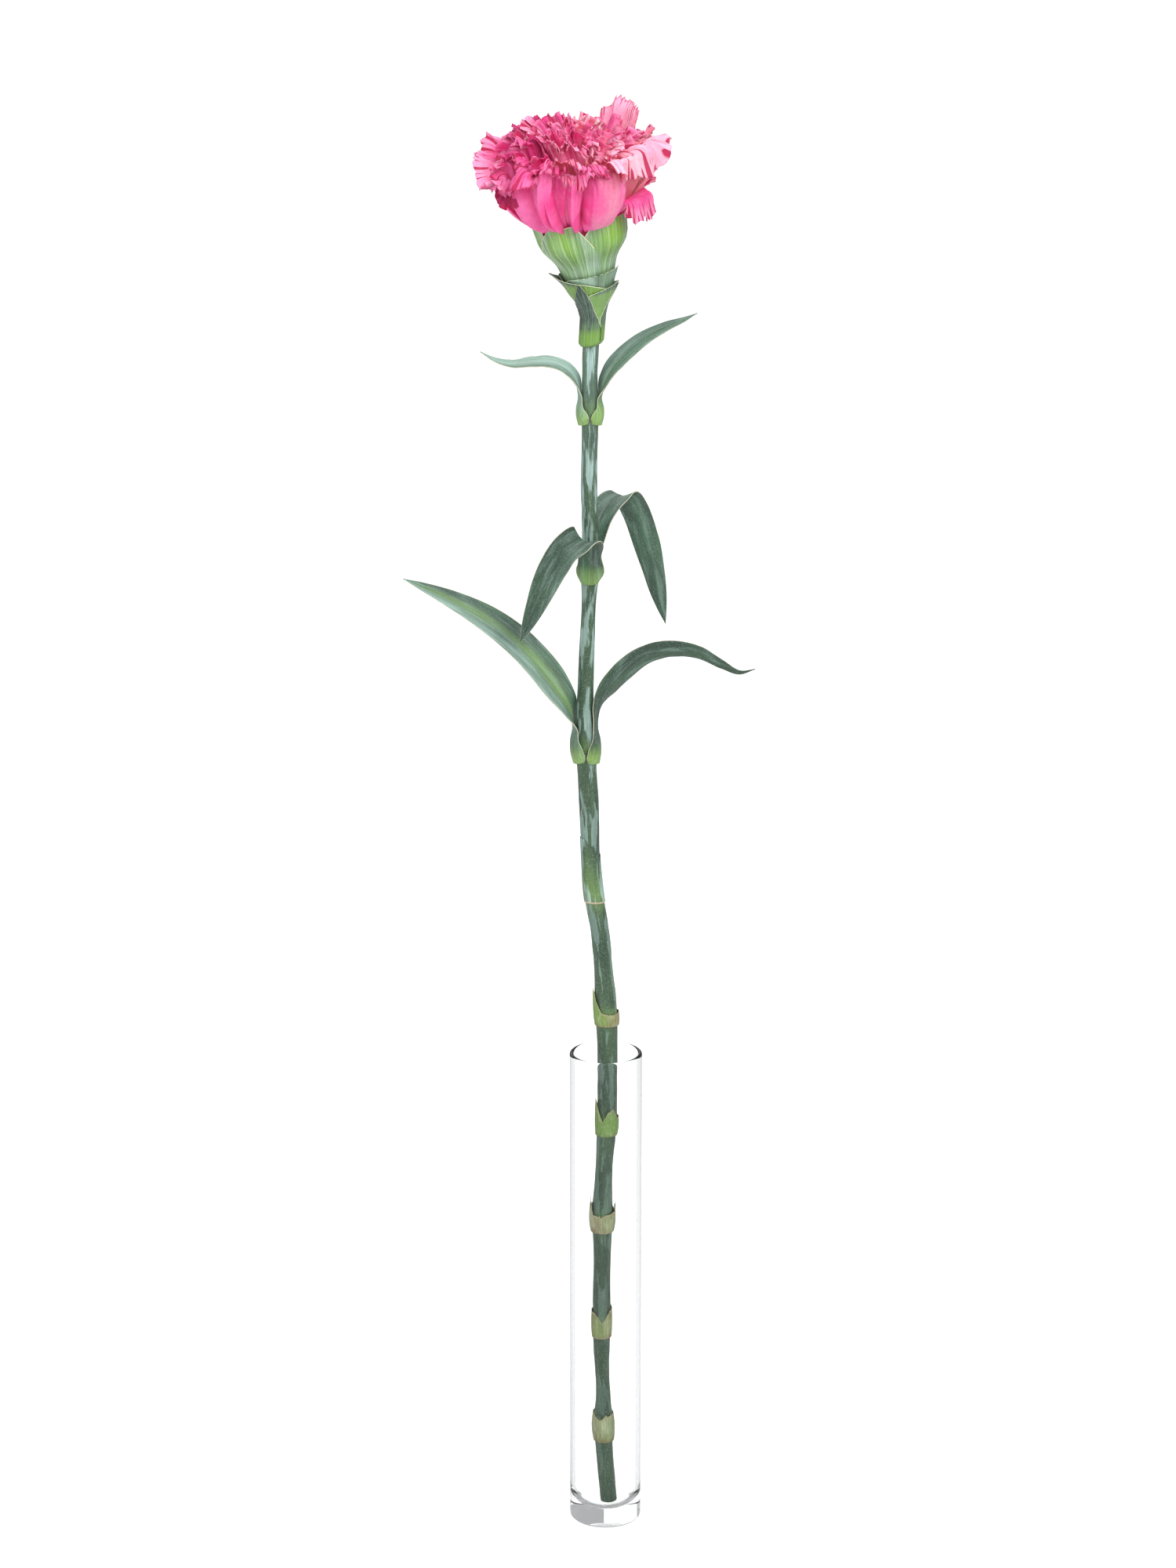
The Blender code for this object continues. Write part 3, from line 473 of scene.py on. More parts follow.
def makeVase(shape):
    # profile turned round Z: foot, outer wall, half-round rim, inner wall, quarter-round dish and flat floor
    outer, inner = shape["radius"], shape["radius"] - shape["wall"]
    lip = shape["wall"] / 2
    quarter = np.linspace(0.0, math.pi / 2, 9)
    rimTurn = np.linspace(0.0, math.pi, 13)
    foot = np.stack([outer - shape["footRound"] * (1 - np.sin(quarter)), shape["footRound"] * (1 - np.cos(quarter))],
                    -1)
    wallUp = np.stack([np.full(24, outer), np.linspace(2.0, shape["height"] - lip - 1.0, 24)], -1)
    rim = np.stack([outer - lip + lip * np.cos(rimTurn), shape["height"] - lip + lip * np.sin(rimTurn)], -1)
    wallDown = np.stack([np.full(24, inner),
                         np.linspace(shape["height"] - lip - 1.0, shape["floor"] + shape["dish"] + 1.0, 24)], -1)
    dish = np.stack([inner - shape["dish"] * (1 - np.cos(quarter)),
                     shape["floor"] + shape["dish"] * (1 - np.sin(quarter))], -1)
    floor = np.stack([np.linspace(4.2, 0.4, 5), np.full(5, shape["floor"])], -1)
    under = np.stack([np.linspace(0.4, outer - shape["footRound"] - 0.6, 6), np.zeros(6)], -1)
    profile = np.concatenate([under, foot, wallUp, rim, wallDown, dish, floor])
    turns = np.linspace(0.0, 2 * math.pi, shape["segments"], endpoint=False)
    points = np.stack([profile[:, :1] * np.cos(turns), profile[:, :1] * np.sin(turns),
                       np.broadcast_to(profile[:, 1:], (len(profile), len(turns)))], -1).reshape(-1, 3)
    rows, columns = len(profile), len(turns)
    points = np.concatenate([points, [[0, 0, 0], [0, 0, shape["floor"]]]])
    faces = gridQuads(rows, columns, True, 0, False).tolist() + poleFaces(rows, columns)
    return fillMesh("vaseGlass", points, faces, np.zeros((len(points), 2)), {}, {})


finishPiece(makeVase(vaseShape), glassMaterial, "glass", "glass_vase")
print("vase made")


# height, x, y and radius of the stem's middle line, from the cut foot to the flower
stemRoute = (
    (5.4, 1.3, -1.5, 3.05), (16.0, 0.4, -1.0, 3.05), (28.0, -0.5, -0.4, 3.20), (36.0, -0.8, 0.0, 3.60),
    (47.0, -0.8, 0.6, 2.65), (60.0, -1.3, 1.3, 2.75), (75.0, -1.4, 2.1, 3.25), (90.0, -1.4, 2.9, 3.15),
    (102.0, -1.2, 3.5, 3.20), (115.5, -1.2, 4.2, 3.80), (133.0, -0.6, 5.1, 3.10), (151.0, 0.4, 6.0, 3.60),
    (168.0, 0.6, 6.8, 3.60), (180.0, 0.6, 7.3, 3.65), (191.5, 0.2, 7.8, 3.90), (210.0, -1.0, 8.4, 3.35),
    (222.0, -2.1, 8.7, 3.30), (235.0, -4.2, 8.8, 3.40), (250.0, -5.4, 8.6, 3.20), (268.0, -6.0, 8.1, 3.50),
    (283.0, -6.8, 7.5, 3.40), (290.0, -7.2, 7.2, 3.80), (302.0, -7.4, 6.6, 3.10), (324.0, -6.8, 5.4, 2.70),
    (347.0, -5.9, 4.3, 2.70), (354.0, -5.6, 4.0, 3.30), (366.0, -5.7, 3.4, 2.85), (386.0, -6.0, 2.4, 2.80),
    (405.0, -5.7, 1.6, 2.85), (410.0, -5.7, 1.4, 3.10), (420.0, -5.8, 1.0, 2.65), (431.0, -5.5, 0.6, 2.75),
    (443.0, -4.6, 0.0, 3.00),
)
stemShape = {"sides": 56, "step": 0.9, "ridges": 0.05, "wobble": 0.10, "cutSlant": 0.35,
             "freshJoints": (36.0, 75.0, 115.5, 151.0, 191.5, 235.0, 290.0, 354.0, 410.0), "freshReach": 5.0,
             "bloom": ((0.0, -0.62), (40.0, -0.58), (190.0, -0.48), (240.0, -0.36), (300.0, -0.18), (345.0, -0.08),
                       (400.0, 0.08), (443.0, 0.2))}


def stemAt(height):
    # x, y, z and radius of the stem at a height
    route = np.array(stemRoute)
    value = curveThrough(route[:, 0], route, height)
    return value[..., [1, 2, 0, 3]]


def makeStem(shape):
    # rings round the middle line; the radius carries low ridges and a slow wobble, and both ends close to a pole
    top = stemRoute[-1][0] + 8.4
    heights = np.arange(stemRoute[0][0], top, shape["step"])
    turns = np.linspace(0.0, 2 * math.pi, shape["sides"], endpoint=False)
    centre = stemAt(heights)
    lean = headTurn @ np.array([0.0, 0.0, 1.0])
    above = np.maximum(heights - stemRoute[-1][0], 0.0)
    centre[:, :2] += above[:, None] * lean[None, :2] / lean[2]
    centre[:, 2] = heights
    radius = np.where(above > 0, np.interp(above, [0.0, 3.0, 6.0, 8.4], [3.0, 3.1, 3.9, 4.9]), centre[:, 3])[:, None]
    ridge = shape["ridges"] * np.sin(11 * turns[None, :] + 1.5 * softNoise(heights / 17.0, 5)[:, None])
    wobble = shape["wobble"] * softNoise(heights / 4.0, 6)[:,
                                                           None] * np.cos(2 * turns[None, :]
                                                                          + heights[:, None] / 23.0)
    radius = radius + ridge + wobble
    slant = shape["cutSlant"] * np.cos(turns[None, :] - 0.6) * (1 - smooth((heights[:, None] - heights[0]) / 2.0))
    points = np.stack([centre[:, :1] + radius * np.cos(turns), centre[:, 1:2] + radius * np.sin(turns),
                       centre[:, 2:3] + np.maximum(slant, -0.2)], -1)
    rows, columns = points.shape[:2]
    fresh = np.zeros(rows)
    for joint in shape["freshJoints"]:
        fresh = np.maximum(fresh, np.exp(-((heights - joint) / shape["freshReach"]) ** 2))
    tone = np.broadcast_to((0.55 * fresh - 0.35 * smooth((230.0 - heights) / 60.0) * (1.0 - fresh))[:, None],
                           (rows, columns))
    edge = np.broadcast_to(smooth(1.0 - (heights[:, None] - heights[0]) / 1.2), (rows, columns))
    grain = np.stack([points[..., 0] - centre[:, :1], points[..., 1] - centre[:, 1:2], points[..., 2]], -1)
    ends = [points[0].mean(0), points[-1].mean(0)]
    flat = np.concatenate([points.reshape(-1, 3), ends])
    faces = gridQuads(rows, columns, True, 0, False).tolist() + poleFaces(rows, columns)
    bloom = np.broadcast_to(np.interp(heights, *np.array(shape["bloom"]).T)[:, None], (rows, columns))
    extra = lambda values: np.concatenate([values.reshape(-1), [1.0, 0.0]])
    uv = np.concatenate([np.stack(np.broadcast_arrays(turns[None, :] / (2 * math.pi), heights[:, None] / top),
                                  -1).reshape(-1, 2),
                         [[0.5, 0.0], [0.5, 1.0]]])
    return fillMesh("stemBody", flat, faces, uv, {"tone": extra(tone), "edge": extra(edge), "bloom": extra(bloom)},
                    {"grain": np.concatenate([grain.reshape(-1, 3), [[0, 0, 0], [0, 0, top]]])})


# the flower head's own frame: its base, its lean, and heights above the base
headShape = {"base": (-4.6, 0.0, 443.0), "leanLeft": 9.8, "leanFront": 6.0, "mouth": 31.0, "receptacleTop": 8.5,
             "shear": 0.11, "crownShift": 2.8}
headTurn = np.array(Matrix.Rotation(math.radians(-headShape["leanLeft"]), 3, "Y")
                    @ Matrix.Rotation(math.radians(headShape["leanFront"]), 3, "X"))
calyxOutline = np.array([(-12.0, 2.8), (-4.0, 2.9), (0.0, 3.0), (3.5, 3.9), (6.0, 5.2), (8.5, 6.6), (11.0, 7.6),
                         (14.0, 8.8), (16.6, 9.7), (19.2, 10.6), (21.0, 11.5), (22.6, 12.6), (24.6, 13.9),
                         (27.2, 14.8),
                         (30.0, 15.2), (33.0, 15.6), (36.0, 15.9)])
calyxShift = np.array([(0.0, 0.0), (6.0, 0.8), (12.0, 1.0), (24.0, 1.0), (33.0, 0.7),
                       (46.0, 0.0)])  # height, sideways

finishPiece(makeStem(stemShape), stemMaterial, "stem", "stem")
print("stem made")


def calyxRadius(height):
    return np.interp(height, calyxOutline[:, 0], calyxOutline[:, 1])


def toWorld(local):
    # from the head's own frame to the part's frame, with the calyx set a little to one side of its axis
    local = local.copy()
    local[..., 0] += np.interp(local[..., 2], calyxShift[:, 0], calyxShift[:, 1])
    return local @ headTurn.T + np.array(headShape["base"])


def polar(radius, azimuth, height):
    return np.stack(np.broadcast_arrays(radius * np.cos(azimuth), radius * np.sin(azimuth), height), -1)


def followStem(local):
    # below the head's base, points move sideways to stay round the bending stem
    depths = np.linspace(-14.0, 0.0, 8)
    centres = stemAt(headShape["base"][2] + depths * headTurn[2, 2])[:, :3]
    offsets = (centres - np.array(headShape["base"])) @ headTurn
    moved = local.copy()
    moved[..., 0] += np.interp(local[..., 2], depths, offsets[:, 0])
    moved[..., 1] += np.interp(local[..., 2], depths, offsets[:, 1])
    return moved


def levelCrown(local):
    # the crown of petals turns back towards level and moves sideways above the mouth
    lift = smooth((local[..., 2] - headShape["mouth"] - 1.0) / 20.0)
    moved = local.copy()
    moved[..., 0] += headShape["crownShift"] * lift
    moved[..., 2] -= headShape["shear"] * local[..., 0] * lift
    return moved


def outlineRows(outline, rows):
    # a smooth curve through the outline's (height, left azimuth, right azimuth) corners, one row each
    knots = np.array(outline, float)
    line = curveThrough(np.linspace(0.0, 1.0, len(knots)), knots, np.linspace(0.0, 1.0, rows))
    return line[:, :1], np.radians(line[:, 1:2]), np.radians(line[:, 2:3])


# calyx: a fluted cup and five blunt lobes that overlap like roof tiles
calyxShape = {"foot": 4.0, "cupTop": 26.0, "wall": 0.55, "flutes": 0.12, "veins": 60}
# corners of each lobe's outline as height, left and right azimuth, and how far its left and right sides stand off
calyxLobes = (
    {"outline": ((17.0, -160, -70), (21.0, -160, -70), (24.4, -158, -74), (27.0, -155, -79), (29.5, -148, -84.5),
                 (32.0, -138, -90.5), (33.6, -131, -95), (34.2, -125, -99)), "stand": (0.45, 0.62)},
    {"outline": ((17.0, -94, 2), (22.0, -94, 2), (27.0, -90, 3), (30.0, -85.5, 3), (31.6, -80, 2), (32.8, -72, -4),
                 (33.4, -60, -14), (33.7, -50, -26)), "stand": (0.10, 0.50)},
    {"outline": ((17.0, -238, -138), (24.0, -236, -138), (30.0, -228, -141), (33.0, -219, -145), (35.0, -207, -150),
                 (35.7, -192, -157)), "stand": (0.10, 0.16)},
    {"outline": ((17.0, 70, 140), (24.0, 70, 140), (29.0, 74, 138), (32.0, 84, 128), (33.6, 98, 114)),
     "stand": (0.45, 0.50)},
    {"outline": ((17.0, -8, 86), (24.0, -8, 86), (29.0, -4, 82), (32.0, 8, 72), (33.8, 24, 54)),
     "stand": (0.12, 0.20)},
)


def makeCalyx(shape, lobes):
    # cup: the outline turned round the axis with fine flutes. Lobe: a tile of it between its left and right edges,
    # which stands off by a mix of its two sides' amounts and sinks into the cup at its foot
    rows, columns = 60, 180
    turns = np.linspace(0.0, 2 * math.pi, columns, endpoint=False)[None, :]
    height = np.linspace(shape["foot"], shape["cupTop"], rows)[:, None]
    flutes = lambda angle: shape["flutes"] * np.sin(shape["veins"] * angle + 2 * softNoise(angle * 3, 8))
    outer = calyxRadius(height) - 0.25 + flutes(turns)
    count = shape["veins"] / (2 * math.pi)
    grain = np.stack(np.broadcast_arrays(13.0 * np.cos(turns), 13.0 * np.sin(turns), height), -1)
    low = np.broadcast_to(0.35 * smooth((height - 12.0) / 8.0), (rows, columns))
    paleFoot = np.broadcast_to(0.28 * smooth((23.0 - height) / 6.0), (rows, columns))
    around = np.broadcast_to(turns * count, (rows, columns))
    parts = [shellPart(toWorld(polar(outer, turns, height)), toWorld(polar(outer - shape["wall"], turns, height)),
                       {"tone": low, "edge": np.zeros((rows, columns)), "bloom": paleFoot, "around": around}, grain)]
    rise = np.linspace(0.0, 1.0, 70)[:, None]
    across = np.linspace(-1.0, 1.0, 80)[None, :]
    for lobe in lobes:
        z, left, right = outlineRows(lobe["outline"], 70)
        angle = blend(left, right, (across + 1) / 2)
        stand = blend(lobe["stand"][0], lobe["stand"][1], (across + 1) / 2) * smooth(rise / 0.30)
        radius = calyxRadius(z) - 0.05 - 0.45 * (1.0 - smooth(rise / 0.20)) + stand
        radius = radius + flutes(angle) * (1 - 0.6 * rise) + 0.30 * softNoise(angle * 5.0, 12) * rise**2
        z = z + 0.25 * softNoise(angle * 9.0, 14) * rise**4
        surface = toWorld(polar(radius, angle, z))
        edge = np.maximum(np.abs(across) * smooth((rise - 0.12) / 0.25),
                          0.99 * smooth((rise - 0.5) / 0.5) ** 0.5 * (rise > 0.5))
        grainLobe = np.stack(np.broadcast_arrays(13.0 * np.cos(angle), 13.0 * np.sin(angle), z), -1)
        tone = 0.30 + 0.75 * np.exp(-((z - 29.0) / 4.5) ** 2 - (across / 0.55) ** 2) - 0.45 * np.abs(across) ** 3
        bloom = (0.34 * np.abs(across) ** 2 + 0.28 * smooth((23.0 - z) / 6.0)) * np.ones_like(rise)
        parts.append(sheetPart(surface, 0.35 * smooth(0.3 + rise / 0.1) * np.ones_like(across),
                               {"tone": tone, "edge": edge, "bloom": bloom, "around": angle * count}, grainLobe))
    return joinParts("calyxCup", parts)


finishPiece(makeCalyx(calyxShape, calyxLobes), calyxMaterial, "calyx", "calyx")


# corners of each scale's outline as height, left and right azimuth from foot to tip, the layer it lies in, how far
# its tip stands out, how fresh its foot and how dark its tip are, where along it (fade) the fresh green ends and the
# dark tip begins, and how pale its middle is
bractShapes = {
    "bract_upper_front": {"outline": ((2.5, -160, 12), (7.0, -160, 12), (11.5, -158, 10), (13.6, -150, 2),
                                      (14.6, -132, -6),
                                      (15.0, -96, -11), (15.3, -60, -14), (15.8, -30, -17), (16.2, -20, -18)),
                          "layer": 1.0, "flare": 0.9, "fresh": 0.3, "dark": 0.0, "fade": (0.3, 0.8), "pale": 0.70},
    "bract_upper_back": {"outline": ((2.5, 20, 195), (7.0, 20, 195), (11.0, 24, 190), (13.0, 70, 184),
                                     (14.5, 130, 176),
                                     (15.4, 160, 170)),
                         "layer": 1.0, "flare": 0.8, "fresh": 0.5, "dark": 0.3, "fade": (0.3, 0.8), "pale": 0.3},
    "bract_middle_left": {"outline": ((-3.0, -262, -30), (2.0, -262, -30), (6.0, -262, -32), (8.6, -258, -40),
                                      (10.2, -250, -60),
                                      (11.4, -240, -80), (12.8, -225, -104), (14.2, -205, -138), (15.8, -188, -166),
                                      (16.8, -181, -177)),
                          "layer": 2.0, "flare": 2.6, "fresh": 0.9, "dark": 1.0, "fade": (0.75, 0.70), "pale": 0.0},
    "bract_middle_right": {"outline": ((-3.0, -116, 92), (2.0, -116, 92), (5.5, -113, 90), (7.4, -106, 80),
                                       (8.6, -95, 62),
                                       (9.2, -78, 40), (9.8, -55, 16), (10.4, -32, 0), (10.9, -18, -12)),
                           "layer": 2.75, "flare": 0.9, "fresh": 1.0, "dark": 1.0, "fade": (0.72, 0.78),
                           "pale": 0.10},
    "bract_lower_front": {"outline": ((-9.5, -214, -50), (-5.0, -214, -50), (-1.5, -210, -62), (1.0, -196, -77),
                                      (3.4, -172, -88),
                                      (6.0, -150, -94), (8.8, -132, -100), (11.2, -121, -105.5),
                                      (13.3, -113, -110.5)),
                          "layer": 3.5, "flare": 0.2, "fresh": 1.0, "dark": 1.0, "fade": (0.12, 0.22), "pale": 0.0},
    "bract_lower_back": {"outline": ((-9.5, -42, 138), (-5.0, -44, 138), (-1.5, -58, 136), (1.0, -46, 126),
                                     (3.4, -32, 104),
                                     (6.0, -22, 72), (8.0, -15, 36), (9.6, -9, 6)),
                         "layer": 3.1, "flare": 0.8, "fresh": 0.8, "dark": 0.6, "fade": (0.2, 0.35), "pale": 0.3},
}
bractThick = 0.45
bractStep = 0.42


def makeBract(name, shape):
    # a scale between its left and right edges, lying on the calyx outline plus a step for each layer below it
    rows, columns = 84, 64
    share = np.linspace(0.0, 1.0, rows)[:, None]
    side = np.linspace(-1.0, 1.0, columns)[None, :]
    z, left, right = outlineRows(shape["outline"], rows)
    angle = blend(left, right, (side + 1) / 2)
    rise = (z - z[0]) / (z[-1] - z[0])
    lower = (shape["layer"] - 1.0) * (1.0 + 0.35 * smooth((z - 2.0) / 6.0))
    radius = calyxRadius(z) + 0.15 + bractThick / 2 + bractStep * lower + shape["flare"] * rise**7
    radius = radius + 0.06 * np.sin(30 * angle) - 0.7 * np.exp(-(rise / 0.025) ** 2)
    middle = toWorld(followStem(polar(radius, angle, z)))
    thick = bractThick * (1.0 - 0.55 * np.abs(side) ** 3) * (1.0 - 0.3 * rise)
    fade, tipFrom = shape["fade"]
    tone = shape["fresh"] * (1.0 - smooth((rise - fade) / 0.22)) - shape["dark"] * smooth((rise - tipFrom) / 0.25)
    bloom = shape["pale"] * smooth((rise - 0.2) / 0.4) * (0.6 + 0.5 * softNoise(angle * 4.0, 15))
    edge = np.maximum(np.abs(side) * smooth(rise * 3.0), 0.97 * smooth((share - 0.75) / 0.25))
    grain = np.stack(np.broadcast_arrays(7.0 * np.cos(angle), 7.0 * np.sin(angle), z), -1)
    floats = {"tone": tone * np.ones_like(side), "edge": edge, "bloom": bloom, "around": angle * 46 / (2 * math.pi)}
    return joinParts(name + "_scale", [sheetPart(middle, thick, floats, grain)])


for name, shape in bractShapes.items():
    finishPiece(makeBract(name, shape), bractMaterial, "bract", name)
print("calyx and bracts made")


# foot height and azimuth on the stem, sheath length, swelling, half width of the blade, and the route of the middle
# line after the sheath: a point and the direction across the blade there. Then the tone: dark all over, the foot's
# own tone and how far it reaches, fresh along the middle; how blunt the tip is; and the wax on each side and low down
leafShapes = {
    "leaf_upper_left": {
        "foot": 405.5, "azimuth": 180.0, "sheath": 9.0, "swell": 1.3, "width": 2.9,
        "route": ((-9.9, 1.2, 419.0, -0.2, -0.9, -0.2), (-12.6, 0.7, 423.6, -0.4, -0.8, -0.4),
                  (-18.0, 0.0, 426.6, -0.2, -0.8, -0.6), (-25.0, -1.0, 427.0, 0.0, -0.8, -0.6),
                  (-32.0, -2.0, 426.6, 0.0, -0.8, -0.6), (-38.0, -2.8, 428.2, -0.2, -0.8, -0.6),
                  (-42.8, -3.5, 431.1, -0.3, -0.8, -0.5)),
        "dark": 0.0, "footTone": 1.1, "footReach": 9.0, "blunt": 2.2, "fresh": 0.1, "bloomInside": 0.90,
        "bloomOutside": 0.80, "bloomLow": 0.35, "seed": 1},
    "leaf_upper_right": {
        "foot": 405.5, "azimuth": 0.0, "sheath": 9.0, "swell": 1.3, "width": 3.3,
        "route": ((-1.2, 1.2, 418.5, -0.3, 0.8, 0.2), (1.6, 0.6, 424.6, -0.5, 0.6, 0.4),
                  (6.5, -0.8, 430.2, -0.5, 0.5, 0.5), (13.0, -2.2, 435.6, -0.5, 0.5, 0.6),
                  (20.1, -3.6, 439.6, -0.4, 0.5, 0.7), (26.4, -4.8, 442.3, -0.4, 0.5, 0.7),
                  (30.4, -5.5, 444.4, -0.5, 0.5, 0.6)),
        "dark": 0.1, "footTone": 1.25, "footReach": 10.0, "blunt": 2.0, "fresh": 0.35, "bloomInside": 0.25,
        "bloomOutside": 0.18, "bloomLow": 0.3, "seed": 2},
    "leaf_middle_left": {
        "foot": 350.0, "azimuth": -96.0, "sheath": 9.5, "swell": 1.3, "width": 5.3,
        "route": ((-6.2, -4.2, 364.6, 1.0, 0.0, -0.2), (-8.8, -7.8, 367.2, 0.85, -0.1, -0.5),
                  (-13.6, -10.8, 365.2, 0.82, 0.0, -0.56), (-18.0, -12.0, 359.0, 0.85, 0.0, -0.5),
                  (-21.4, -12.8, 352.2, 0.90, 0.0, -0.43), (-24.0, -13.4, 346.0, 0.92, 0.0, -0.39),
                  (-26.8, -13.8, 339.4, 0.90, 0.0, -0.43), (-29.6, -14.0, 332.6, 0.80, 0.0, -0.60)),
        "dark": 0.55, "footTone": 0.75, "footReach": 8.0, "blunt": 2.6, "fresh": 0.0, "bloomInside": 0.02,
        "bloomOutside": 0.05, "bloomLow": 0.1, "seed": 3},
    "leaf_middle_right": {
        "foot": 350.0, "azimuth": 84.0, "sheath": 9.5, "swell": 1.3, "width": 4.9,
        "route": ((-4.4, 8.4, 364.6, -0.95, 0.2, 0.2), (-2.4, 9.6, 371.0, -0.9, 0.35, 0.15),
                  (1.4, 12.8, 376.4, -0.95, 0.3, 0.15), (6.0, 17.0, 378.0, -1.0, 0.3, 0.0),
                  (9.8, 20.0, 372.6, -0.95, 0.1, -0.25), (13.2, 20.6, 363.6, -0.95, 0.0, -0.3),
                  (16.0, 20.4, 353.6, -0.95, 0.0, -0.3), (18.4, 19.8, 343.0, -0.95, 0.0, -0.3),
                  (20.8, 19.0, 332.4, -0.95, 0.0, -0.3)),
        "dark": 0.35, "footTone": 0.75, "footReach": 8.0, "blunt": 3.6, "fresh": 0.1, "bloomInside": 0.1,
        "bloomOutside": 0.06, "bloomLow": 0.1, "seed": 4},
    "leaf_lower_left": {
        "foot": 285.0, "azimuth": 180.0, "sheath": 12.5, "swell": 1.3, "width": 5.6,
        "route": ((-13.2, 5.4, 305.0, -0.4, -0.8, -0.4), (-17.6, 3.8, 313.0, -0.6, -0.5, -0.6),
                  (-23.2, 2.0, 321.4, -0.65, -0.35, -0.65), (-31.0, -0.2, 330.2, -0.6, -0.35, -0.7),
                  (-41.0, -2.8, 338.6, -0.55, -0.35, -0.75), (-51.6, -5.2, 345.2, -0.45, -0.35, -0.8),
                  (-61.4, -7.2, 350.2, -0.4, -0.35, -0.85), (-69.6, -8.4, 353.9, -0.4, -0.35, -0.85)),
        "dark": 0.0, "footTone": 1.0, "footReach": 7.5, "blunt": 2.4, "fresh": 0.55, "bloomInside": 0.15,
        "bloomOutside": 0.25, "bloomLow": 0.6, "seed": 5},
    "leaf_lower_right": {
        "foot": 285.0, "azimuth": 0.0, "sheath": 12.5, "swell": 1.3, "width": 4.3,
        "route": ((-2.4, 6.6, 305.4, 0.3, 0.9, -0.3), (0.8, 6.0, 311.6, 0.5, 0.55, -0.6),
                  (5.8, 5.2, 317.8, 0.55, 0.4, -0.65), (13.0, 4.4, 323.6, 0.4, 0.4, -0.8),
                  (22.0, 3.2, 326.4, 0.1, 0.4, -0.9), (31.6, 1.8, 325.6, -0.15, 0.4, -0.9),
                  (40.0, 0.8, 321.6, -0.3, 0.4, -0.85), (46.4, 0.0, 319.0, -0.1, 0.4, -0.9),
                  (51.6, -0.4, 320.4, 0.2, 0.4, -0.9)),
        "dark": 0.42, "footTone": 1.0, "footReach": 7.5, "blunt": 2.0, "fresh": 0.0, "bloomInside": 0.1,
        "bloomOutside": 0.02, "bloomLow": 0.2, "seed": 6},
}
leafMake = {"thick": 0.7, "rows": 150, "columns": 33, "openSheath": 84.0, "openBlade": 24.0, "keel": 0.28}


